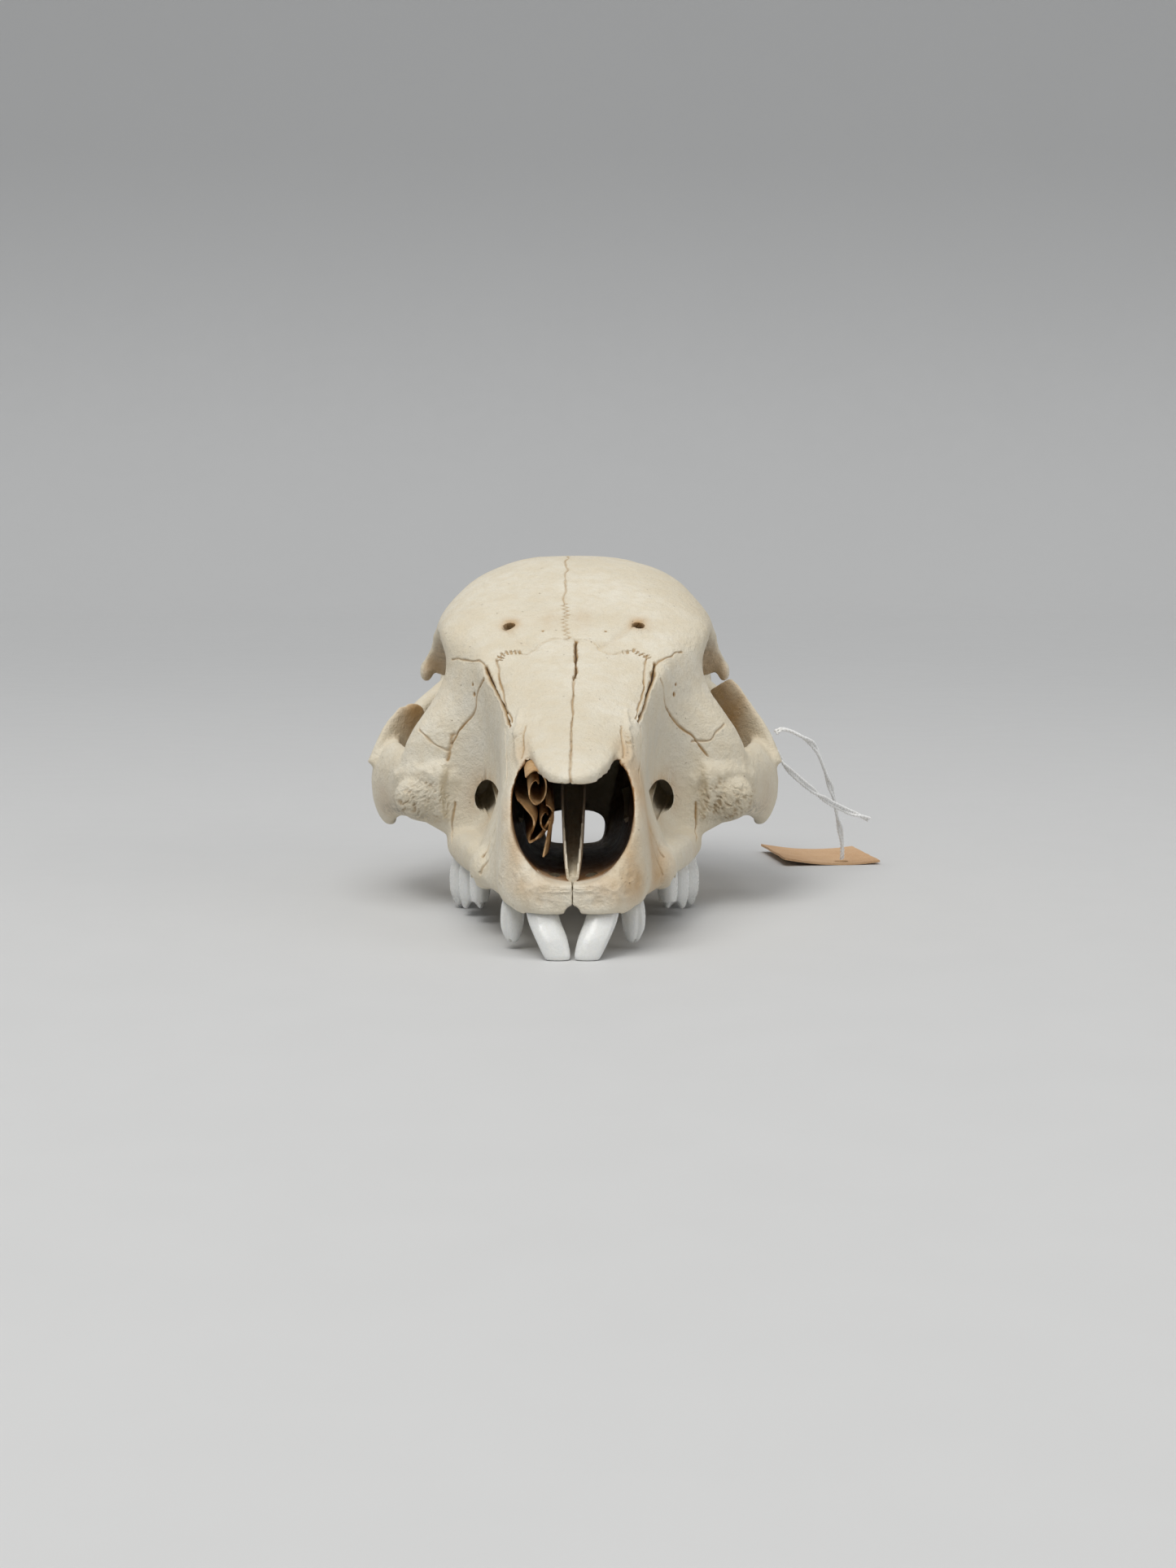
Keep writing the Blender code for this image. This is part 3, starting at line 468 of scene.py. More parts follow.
def read_mesh(mesh: bpy.types.Mesh) -> tuple[Array, Array]:
    """Points in table millimetres, and triangles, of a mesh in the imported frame."""
    mesh.calc_loop_triangles()
    points = np.empty(len(mesh.vertices) * 3, np.float32)
    mesh.vertices.foreach_get("co", points)
    triangles = np.empty(len(mesh.loop_triangles) * 3, np.int32)
    mesh.loop_triangles.foreach_get("vertices", triangles)
    return points.reshape(-1, 3) / MM + (0, TEETH_TO_CENTRE, 0), triangles.reshape(-1, 3)


def split_edges(surface: Surface, wanted: Array) -> Surface:
    """Halves every edge that is longer than wanted, and splits the triangles on it to match.

    The new point starts in the middle of the edge. It then moves three quarters of the way to the mean of
    its feet on the two end points' tangent planes, which keeps a rounded surface round.

    Args:
        surface: triangles only.
        wanted: longest edge wanted at each point.

    Returns:
        The finer surface.
    """
    points, triangles = surface.points, surface.faces[0]
    edges = np.sort(triangles[:, [[0, 1], [1, 2], [2, 0]]].reshape(-1, 2), axis=1)
    edges, index = np.unique(edges, axis=0, return_inverse=True)
    a, b = points[edges[:, 0]], points[edges[:, 1]]
    cut = np.linalg.norm(a - b, axis=1) > wanted[edges].min(axis=1)
    normals = surface.normals()
    a, b, na, nb = a[cut], b[cut], normals[edges[cut, 0]], normals[edges[cut, 1]]
    middle = (a + b) / 2
    feet = middle - (np.einsum("ij,ij->i", middle - a, na)[:, None] * na
                     + np.einsum("ij,ij->i", middle - b, nb)[:, None] * nb) / 2
    agree = np.clip(np.einsum("ij,ij->i", na, nb), 0, 1)[:, None]
    added = middle + 0.75 * agree * (feet - middle)
    number = np.full(len(edges), -1)
    number[cut] = len(points) + np.arange(cut.sum())
    mids = number[index.reshape(-1, 3)]
    cuts = (mids >= 0).sum(axis=1)
    one, two = cuts == 1, cuts == 2
    turn = np.where(one, (mids >= 0).argmax(axis=1), np.where(two, (mids < 0).argmax(axis=1), 0))
    order = (np.arange(3) + turn[:, None]) % 3
    a, b, c = np.take_along_axis(triangles, order, 1).T
    ab, bc, ca = np.take_along_axis(mids, order, 1).T
    three = cuts == 3
    pieces = [triangles[cuts == 0]]
    for which, corners in ((one, ((a, ab, c), (ab, b, c))),
                           (two, ((ca, bc, c), (a, b, bc), (a, bc, ca))),
                           (three, ((a, ab, ca), (b, bc, ab), (c, ca, bc), (ab, bc, ca)))):
        pieces += [np.column_stack([corner[which] for corner in trio]) for trio in corners]
    return Surface(np.vstack([points, added]), [np.vstack(pieces)])




# The bones

class SeamKind(Enum):
    """How a seam between two bones runs."""

    HAIRLINE = "a fine line that wanders a little"
    SERRATED = "a saw-tooth line"
    COMB = "short teeth across the line"
    OPEN = "a dark gap"
    RAISED = "a ragged edge that stands proud"


@dataclass(frozen=True)
class Seam:
    """A line where two bones meet, drawn on the skin of the skull.

    The skin is pushed in by depth * exp(-(d/width)2), where d is the distance from the route after its
    sideways jags are taken off.
    """

    route: Rows
    kind: SeamKind = SeamKind.HAIRLINE
    width: float = 0.17
    depth: float = 0.26
    jag: float = 0.25
    pitch: float = 2.2
    dark: float = 0.5
    mirrored: bool = False

    def spacing(self) -> float:
        """Distance between points that the seam needs to show."""
        if self.kind in (SeamKind.SERRATED, SeamKind.COMB):
            return 0.13
        return max(0.18, 0.4 * self.width)

    def along(self, side: int, skin: Array | None = None, normals: Array | None = None) -> tuple[Array,
                                                                                                 Array]:
        """The smooth route on a side, moved onto the skin if that is given, and its running length."""
        route = evenly(smooth_rows(self.route, 6) * (side, 1, 1), 0.45)
        if skin is not None:
            close = np.flatnonzero(inside_box(skin, route, 5.0))
            at = close[nearest(route, skin[close])[0]]
            route = route + normals[at] * np.einsum("ij,ij->i", skin[at] - route, normals[at])[:, None]
            route[1:-1] = (route[:-2] + 2 * route[1:-1] + route[2:]) / 4
        return route, np.r_[0, np.cumsum(np.linalg.norm(np.diff(route, axis=0), axis=1))]

    def distance(self, points: Array, normals: Array, reach: float) -> Array:
        """Plain distance to the route, and a large number beyond its box."""
        found = np.full(len(points), 99.0)
        for side in (1, -1) if self.mirrored else (1,):
            route, _ = self.along(side, points, normals)
            which = np.flatnonzero(inside_box(points, route, reach))
            found[which] = np.minimum(found[which], nearest(points[which], route)[1])
        return found

    def carve(self, points: Array, normals: Array, side: int) -> tuple[Array, Array, Array]:
        """Works out the groove on the points of one side.

        Args:
            points: points of the skin.
            normals: their unit normals.
            side: 1 as drawn, -1 mirrored.

        Returns:
            Indices of the points that it reaches, how far each moves out, and how dark each is.
        """
        route, run = self.along(side, points, normals)
        reach = 6 * self.width + 1.3 * self.jag + 0.6
        which = np.flatnonzero(inside_box(points, route, reach))
        k, away = nearest(points[which], route)
        which, k = which[away < reach], k[away < reach]
        here, way = points[which], unit(np.gradient(route, axis=0))[k]
        gap = here - route[k]
        along = (gap * way).sum(axis=1)
        at = run[k] + along
        sideways = (gap * unit(np.cross(way, normals[which]))).sum(axis=1)
        past = np.maximum(np.abs(along) - 0.4, 0)
        height = np.abs((gap * normals[which]).sum(axis=1))
        seed = len(self.route) + round(abs(self.route[0][1]))
        wander = wavy(np.column_stack([at, at * 0, at * 0]), self.pitch * 1.7, seed, 2)
        phase = at / self.pitch + 0.35 * wander
        saw = 4 * np.abs(phase - np.floor(phase + 0.5)) - 1
        line = self.jag * (0.75 * saw + 0.5 * wander if self.kind is SeamKind.SERRATED else 1.3 * wander)
        steep = 3 * self.jag / self.pitch if self.kind is SeamKind.SERRATED else 0.0
        off = (sideways - line) / math.hypot(1, steep)
        if self.kind is SeamKind.COMB:
            off = np.where(saw > 0.1, np.maximum(np.abs(off) - self.jag, 0), off * 1.5)
        uneven = np.clip(1 + 0.6 * wavy(here, 1.6, seed) + 0.3 * wavy(here, 0.7, seed + 3), 0.3, 2)
        off = np.hypot(off, past) / (self.width * uneven)
        core = np.exp(-off**2) * (height < 1.3)
        lips = np.exp(-((np.abs(off) - 2.4) ** 2)) * (height < 1.3)
        if self.kind is SeamKind.RAISED:
            ragged = 0.75 + 0.3 * wavy(here, 0.9, 5)
            return which, core * self.depth * ragged, 0 * core
        faint = np.clip(0.78 + 0.35 * wavy(here, 3.1, seed + 9), 0.35, 1.0) if self.dark < 0.9 else 1.0
        return which, -self.depth * core + 0.12 * self.depth * lips, self.dark * core * faint


@dataclass(frozen=True)
class Patch:
    """A soft patch of the skin with a look of its own, on the faces that look one way if that is given."""

    middle: tuple
    half: tuple
    strength: float = 1.0
    sides: tuple = (1, -1)
    facing: tuple = ()

    def mask(self, points: Array, normals: Array) -> Array:
        """The patch's weight at each point."""
        total = np.zeros(len(points))
        for side in self.sides:
            share = self.strength * spot(points, self.middle, self.half, side)
            if self.facing:
                share = share * ramp(normals @ unit(np.asarray(self.facing) * (side, 1, 1)), 0.0, 0.5)
            total = np.maximum(total, share)
        return total


@dataclass
class Cranium:
    """All the bones of the skull, which have grown together, as one skin.

    A mass less its hollows, joined with its outgrowths, is skinned with a fine net, thinned out, cut for the
    teeth and the holes, and made finer again where there is detail. Seams, rough patches and pits then move
    its points along their normals.
    """

    # Half outlines of the mass, from the middle of the roof round to the middle of the base, at each y
    mass: Rows = (
        (2.4, ((0, 12.6), (3, 12.6), (5, 12.3), (6.6, 11.8), (7.3, 11.2), (7.6, 10.4), (7.5, 9.4),
               (7.0, 8.5), (6, 7.9), (3, 7.6), (0, 7.8))),
        (5.5, ((0, 13.2), (3.4, 13.6), (6, 15.2), (8.0, 16.2), (9.2, 15.2), (9.9, 13.2), (10.2, 10.8),
               (9.8, 8.4), (8, 7.0), (4, 6.9), (0, 7.4))),
        (9, ((0, 21), (4, 21.6), (7.5, 22.6), (10.4, 22.4), (11.4, 20), (11.9, 16.5), (12.2, 12.5),
             (11.6, 9), (9.5, 7.5), (4.5, 7.5), (0, 8.2))),
        (13, ((0, 27.6), (4, 27.6), (7.6, 27.6), (10.2, 26.6), (11.9, 23.5), (12.5, 18), (12.9, 12.5),
              (12.2, 8.6), (9.8, 7.3), (5, 7.8), (0, 8.6))),
        (18, ((0, 32.6), (4, 32.4), (7.8, 31.8), (10.2, 29.8), (12.2, 25), (12.8, 19), (13.4, 13),
              (13, 9), (10.4, 7.4), (5, 8.2), (0, 8.9))),
        (26, ((0, 36.8), (4.5, 36.6), (8.4, 36), (10.9, 34), (12.2, 29), (13.1, 21), (15.2, 14.5),
              (16.4, 10.5), (13.4, 8), (6, 8.6), (0, 9.1))),
        (34, ((0, 40.0), (5, 39.8), (10, 39.2), (12.2, 37.6), (12.9, 32), (13.2, 23), (16.4, 15),
              (18.2, 11), (15.4, 8.4), (7, 8.9), (0, 9.3))),
        (42, ((0, 43.3), (6, 43.1), (12.0, 42.1), (13.7, 40.4), (13.9, 33.5), (13.7, 25), (15.8, 16.5),
              (19.2, 11.5), (17.4, 8.9), (8, 9.1), (0, 9.4))),
        (49, ((0, 46.4), (7, 46.1), (13.9, 45.2), (16.4, 43.8), (16.0, 37), (15.2, 27), (16.0, 18),
              (20.6, 12), (19, 9.1), (9, 9.2), (0, 9.5))),
        (54, ((0, 49.2), (7.5, 48.9), (15, 48), (18.0, 46.2), (18.4, 39.5), (18.6, 29.5), (18.2, 18),
              (22.0, 12.5), (20.3, 9.2), (9.5, 9.2), (0, 9.4))),
        (58.5, ((0, 51.4), (8, 51.1), (16, 50.2), (20.2, 47.6), (22.4, 40), (28.4, 31), (27.2, 18),
                (22.6, 12.6), (20.8, 9.2), (10, 9.2), (0, 9.3))),
        (63, ((0, 53.6), (8.4, 53.3), (17, 52.3), (22.6, 49.6), (24.2, 42), (32.0, 30.6), (32.4, 19.4),
              (22.6, 13), (20.8, 9.2), (10, 9.1), (0, 9.1))),
        (68, ((0, 56), (9, 55.7), (18, 54.8), (25.0, 51.8), (24.8, 45), (29.6, 32.6), (28, 22),
              (22, 13.6), (20.4, 9.3), (10, 8.9), (0, 8.9))),
        (74, ((0, 58.7), (9.6, 58.4), (19.2, 57), (25.9, 53), (25.8, 46.5), (25.4, 36), (21.6, 25),
              (19.4, 15), (16.8, 9.2), (9, 8.6), (0, 8.6))),
        (80, ((0, 61.2), (10, 60.8), (19.9, 58.8), (26.6, 53.6), (26.4, 47.6), (23.6, 38), (17, 28),
              (13.4, 17), (11.4, 9.8), (8.6, 8.8), (0, 9.2))),
        (86, ((0, 63.3), (10.4, 62.8), (20.2, 60.2), (26.3, 54.6), (26.4, 48), (23, 40), (17, 32),
              (11.5, 23), (9.6, 17), (8, 16), (0, 17.6))),
        (92, ((0, 64.9), (10.6, 64.3), (20.2, 61.2), (25.2, 55.2), (26.2, 48), (24.4, 39.5), (20.4, 32),
              (13.4, 26.6), (9.4, 24), (7, 23.4), (0, 23.6))),
        (100, ((0, 65.8), (10.8, 65.1), (19.8, 61.6), (24.8, 55.4), (26.4, 47.8), (25.6, 39.4), (22, 32),
               (15.4, 26.8), (10, 24.6), (6, 24), (0, 24))),
        (108, ((0, 65.9), (10.6, 65.0), (19.0, 61), (23.8, 54.4), (25.8, 46.4), (25.6, 38.2), (22.6, 31),
               (16.4, 26), (10.4, 23.8), (6, 23.2), (0, 23.2))),
        (115, ((0, 64.6), (9.8, 63.6), (17.4, 59), (21.8, 52.2), (24, 44.6), (24.4, 37), (22, 30),
               (16.6, 25), (10.6, 22.8), (6, 22), (0, 22))),
        (120.5, ((0, 61.6), (8.8, 60.6), (15.2, 56), (19, 49.6), (21.2, 42.6), (21.8, 35.8), (19.8, 29.6),
                 (15.2, 25), (10, 22.6), (5.6, 22), (0, 22))),
        (124.5, ((0, 54), (7.2, 53), (12.4, 49.2), (15.4, 44.4), (17, 39.4), (17.4, 34.4), (16.2, 29.6),
                 (12.8, 26), (9, 24), (5, 23.4), (0, 23.4))),
    )
    # Half outlines of the air in the nose, in the throat behind it and in the braincase
    nose: Rows = (
        (-6, ((0, 28), (4, 28), (8.6, 28), (10, 24), (9.6, 19.6), (7.4, 16), (4.4, 13.2), (0, 12.6))),
        (3.5, ((0, 28), (4.2, 28), (8.6, 28), (10, 24.4), (9.5, 19.6), (7.3, 15.8), (4.4, 13.0), (0, 12.2))),
        (9, ((0, 29), (4.4, 29.6), (7.6, 30.4), (10.1, 26), (9.9, 20.4), (8, 16), (5, 13), (0, 12))),
        (14, ((0, 30.6), (4.8, 31), (7.9, 32.2), (10.1, 27), (10.2, 21.4), (8.6, 16.2), (5.4, 12.9),
              (0, 11.8))),
        (22, ((0, 33.2), (4.6, 33), (8, 31.8), (10.2, 27), (10.7, 22), (9.4, 16.4), (6, 12.6), (0, 11.6))),
        (32, ((0, 37), (5.4, 36.8), (9.4, 35.4), (11, 30), (11.0, 23), (9.8, 16.6), (6.6, 12.4), (0, 11.6))),
        (42, ((0, 40.8), (6.2, 40.6), (11, 38.8), (11.6, 32.4), (10.4, 24), (9.4, 17), (6.8, 12.4),
              (0, 11.6))),
        (52, ((0, 44.2), (7, 44), (12.6, 41.8), (12.8, 34), (10.8, 25), (9.4, 17.2), (6.8, 12.4),
              (0, 11.4))),
        (60, ((0, 44.8), (7, 44.4), (12.4, 41.6), (12.6, 34), (10.8, 25.6), (9.0, 17.6), (6.4, 12.2),
              (0, 11.0))),
        (66.5, ((0, 38), (5, 37.6), (8.8, 35), (9.2, 30), (8.6, 24), (7.2, 18), (5.8, 12.2), (0, 10.8))),
    )
    throat: Rows = (
        (60, ((0, 17.4), (3.4, 17.2), (5.4, 16.2), (5.9, 14.4), (5.7, 12.6), (5.0, 11.4), (2.6, 11.0),
              (0, 11.0))),
        (72, ((0, 17.6), (3.4, 17.4), (5.4, 16.4), (5.9, 14.4), (5.7, 12.4), (5.0, 11.0), (2.6, 10.5),
              (0, 10.4))),
        (79, ((0, 18.4), (3.6, 18.2), (5.8, 17), (6.3, 14.4), (6.2, 11.4), (5.8, 8.8), (3.2, 7.4),
              (0, 7.4))),
        (87, ((0, 22.2), (4, 22), (6.4, 20.6), (7.0, 17), (7.1, 12), (7, 6.6), (4, 4.4), (0, 4.4))),
        (97, ((0, 23.4), (4, 23.0), (6.4, 21.6), (7, 17), (7.2, 12), (7.2, 6.6), (4, 4.4), (0, 4.4))),
    )
    brain: Rows = (
        (78, ((0, 52), (5, 51.4), (8, 48), (9, 43.6), (8, 39.2), (5, 36), (0, 35.4))),
        (84, ((0, 58), (8.6, 57), (15, 52.4), (17.4, 45.4), (14.6, 38), (8.6, 33.4), (0, 32.4))),
        (92, ((0, 61.2), (10.4, 60), (18.6, 54.6), (21.8, 46), (18.6, 36.6), (10.6, 30.6), (0, 29))),
        (101, ((0, 62.4), (10.8, 61.2), (19.4, 55.2), (22.8, 46), (19.8, 36), (11.4, 29.6), (0, 28))),
        (110, ((0, 61.8), (10, 60.4), (17.8, 54), (21.2, 45), (18.8, 35.4), (11, 28.8), (0, 27))),
        (117, ((0, 57.4), (7.6, 56), (13.4, 50.6), (15.8, 43), (14, 35), (8.4, 29), (0, 27))),
        (121.5, ((0, 49), (4.8, 47.8), (8, 43.8), (8.8, 38.6), (7.8, 33.4), (4.8, 29.4), (0, 28))),
        (132, ((0, 42.6), (4.2, 41.8), (7, 39), (7.6, 34.8), (6.6, 30.6), (4.2, 28.0), (0, 27.4))),
    )
    # Pair of nasal bones: y, half width, top, how far the edges drop, thickness
    nasals: Rows = (
        (5.4, 1.3, 29.9, 0.1, 1.2),
        (6.4, 2.8, 30.5, 0.4, 1.6),
        (8.6, 4.3, 31.4, 0.8, 2.0),
        (11, 5.3, 32.4, 1.1, 2.2),
        (14, 6.3, 33.4, 1.4, 2.3),
        (20, 7.5, 35.7, 1.8, 2.3),
        (28, 8.6, 38.8, 1.9, 2.3),
        (36, 10.4, 42.0, 1.9, 2.3),
        (44, 12.4, 45.3, 1.9, 2.3),
        (51, 14.0, 48.3, 1.9, 2.3),
        (56, 14.4, 50.6, 2.2, 2.3),
    )
    # Cheek bone: x, y, z, half height, half thickness, how far its lower and upper edges curve in
    arch: Rows = (
        (23.6, 57.0, 22.5, 5.6, 2.6, 0.0, 0.4),
        (30.2, 62.0, 22.8, 6.0, 2.6, 0.6, 1.0),
        (34.8, 69.0, 22.8, 6.6, 2.3, 1.2, 2.0),
        (37.6, 76.0, 22.2, 8.0, 2.0, 1.6, 2.8),
        (38.2, 82.5, 22.2, 9.0, 1.9, 1.8, 3.2),
        (37.8, 89.0, 24.0, 7.4, 1.9, 1.2, 2.6),
        (36.6, 94.5, 25.8, 5.4, 1.9, 0.4, 1.0),
        (34.6, 100.0, 28.8, 4.6, 2.1, 0.0, 0.2),
        (31.4, 105.0, 32.8, 4.2, 2.3, 0.0, 0.0),
        (26.4, 109.0, 36.8, 4.2, 2.8, 0.0, 0.0),
        (21.0, 111.0, 38.4, 4.6, 3.2, 0.0, 0.0),
    )
    # Bars: x, y, z, half size along, half size across
    cheek_spurs: dict = field(default_factory=lambda: {
        -1: ((36.2, 79.4, 24.0, 6.2, 1.7), (34.8, 80.6, 29.6, 5.0, 1.3), (33.3, 81.8, 32.8, 4.3, 1.0),
             (32.0, 82.8, 35.2, 3.4, 0.85), (31.7, 83.2, 37.0, 1.5, 0.75)),
        1: ((36.2, 79.4, 24.0, 6.2, 1.7), (34.7, 80.9, 30.0, 5.2, 1.3), (32.2, 82.4, 34.8, 4.6, 1.0),
            (29.9, 83.6, 38.4, 4.6, 0.85), (28.8, 84.2, 40.8, 3.4, 0.75)),
    })
    brow_spur: Rows = (
        (20.5, 79.5, 51.6, 6.0, 2.4),
        (23.4, 83.4, 49.8, 4.8, 1.7),
        (25.3, 86.0, 46.8, 3.6, 1.2),
        (26.8, 87.6, 44.4, 3.4, 1.0),
        (27.4, 88.2, 42.8, 3.1, 0.85),
    )
    tooth_ridge: Rows = (
        (15.6, 32.0, 11.8, 2.4, 2.4),
        (17.2, 40.0, 12.0, 2.9, 2.9),
        (18.8, 50.0, 12.2, 3.1, 3.7),
        (19.8, 60.0, 12.4, 3.2, 4.3),
        (19.4, 68.0, 12.5, 3.1, 3.8),
        (17.0, 74.0, 12.8, 2.4, 3.0),
    )
    ear_process: Rows = (
        (18.6, 114.5, 29.0, 5.6, 3.4),
        (18.8, 116.4, 20.0, 4.6, 2.7),
        (18.2, 117.8, 12.0, 3.6, 2.1),
        (17.4, 118.4, 5.0, 2.6, 1.7),
        (17.0, 118.4, -1.6, 2.0, 1.5),
    )
    palate_wing: Rows = (
        (9.2, 88.0, 27.0, 5.4, 1.3),
        (9.0, 86.0, 20.0, 4.8, 1.1),
        (8.9, 83.4, 14.0, 4.2, 1.0),
        (9.2, 82.0, 9.4, 2.6, 1.0),
        (9.8, 82.6, 7.4, 1.2, 0.8),
    )
    # Crest across the back of the head: x, y, z, radius
    crest: Rows = (
        (0, 122.0, 60.6, 2.6),
        (7.0, 122.2, 59.8, 2.6),
        (13.0, 121.0, 55.8, 2.4),
        (17.8, 118.6, 49.6, 2.2),
        (21.4, 115.8, 43.0, 2.2),
    )
    # Rounded hollows and masses on each side: middle and half sizes
    scooped: Rows = (((30.5, 76.0, 38.6), (16.6, 11.6, 13.0)), ((23.0, 79.5, 37.0), (6.6, 8.6, 9.4)),
                     ((29.2, 86.5, 16.0), (10.2, 15.5, 21.0)), ((35.0, 95.0, 43.0), (11.2, 12.0, 12.5)))
    swellings: Rows = (((13.0, 107.0, 19.4), (4.6, 6.4, 7.6)), ((7.0, 126.4, 27.6), (4.0, 4.8, 6.2)),
                       ((24.4, 112.4, 41.0), (4.2, 5.0, 5.2)), ((27.6, 60.2, 20.8), (6.4, 4.0, 4.8)),
                       ((15.2, 30.0, 11.6), (3.2, 6.4, 4.0)), ((29.7, 87.6, 43.2), (1.3, 1.7, 2.2)))
    empty_sockets: Rows = (((17.2, 31.0, 7.4), (1.7, 2.5, 3.4)), ((12.4, 21.0, 6.6), (1.0, 1.4, 2.6)),
                           ((3.2, 17.5, 9.4), (1.3, 4.6, 4.4)), ((17.9, 27.6, 9.0), (0.9, 2.2, 1.5)),
                           ((0.0, 3.6, 7.2), (1.5, 5.0, 1.9)))
    # Holes: two points on the line, half height, half width, which way is up
    holes: Rows = (((14.6, 40.0, 20.9), (18.2, 68.0, 23.4), 3.3, 2.0, (-0.3, 0.0, 1.0)),
                   ((13.2, 59.4, 55.2), (9.8, 72.2, 47.6), 0.95, 1.15, (0.0, 0.0, 1.0)),
                   ((31.0, 112.6, 42.6), (22.0, 111.0, 39.6), 1.7, 1.7, (0.0, 0.0, 1.0)))
    under: tuple = ((-30.0, 108.0, -8.0), (30.0, 128.0, 0.0))
    # Slit between the two foremost bones
    slit: tuple = ((-0.2, -3.0, 6.0), (0.2, 9.0, 13.4))
    skin_step: float = 0.45
    # Edge lengths of the finer net, round by round, and the shortest ones by kind of detail
    net_rounds: tuple = ((0.8, 0.45, 0.24, 0.16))
    patch_net: float = 0.27
    pit_net: float = 0.3
    tip_net: float = 0.75
    # A net length that asks for nothing finer
    coarse: float = 9.0
    # Rough patches: size of a grain, depth of its pit. Puffed bone: height of its swirls
    grain: float = 0.85
    pit_depth: float = 0.34
    swirl_height: float = 0.22
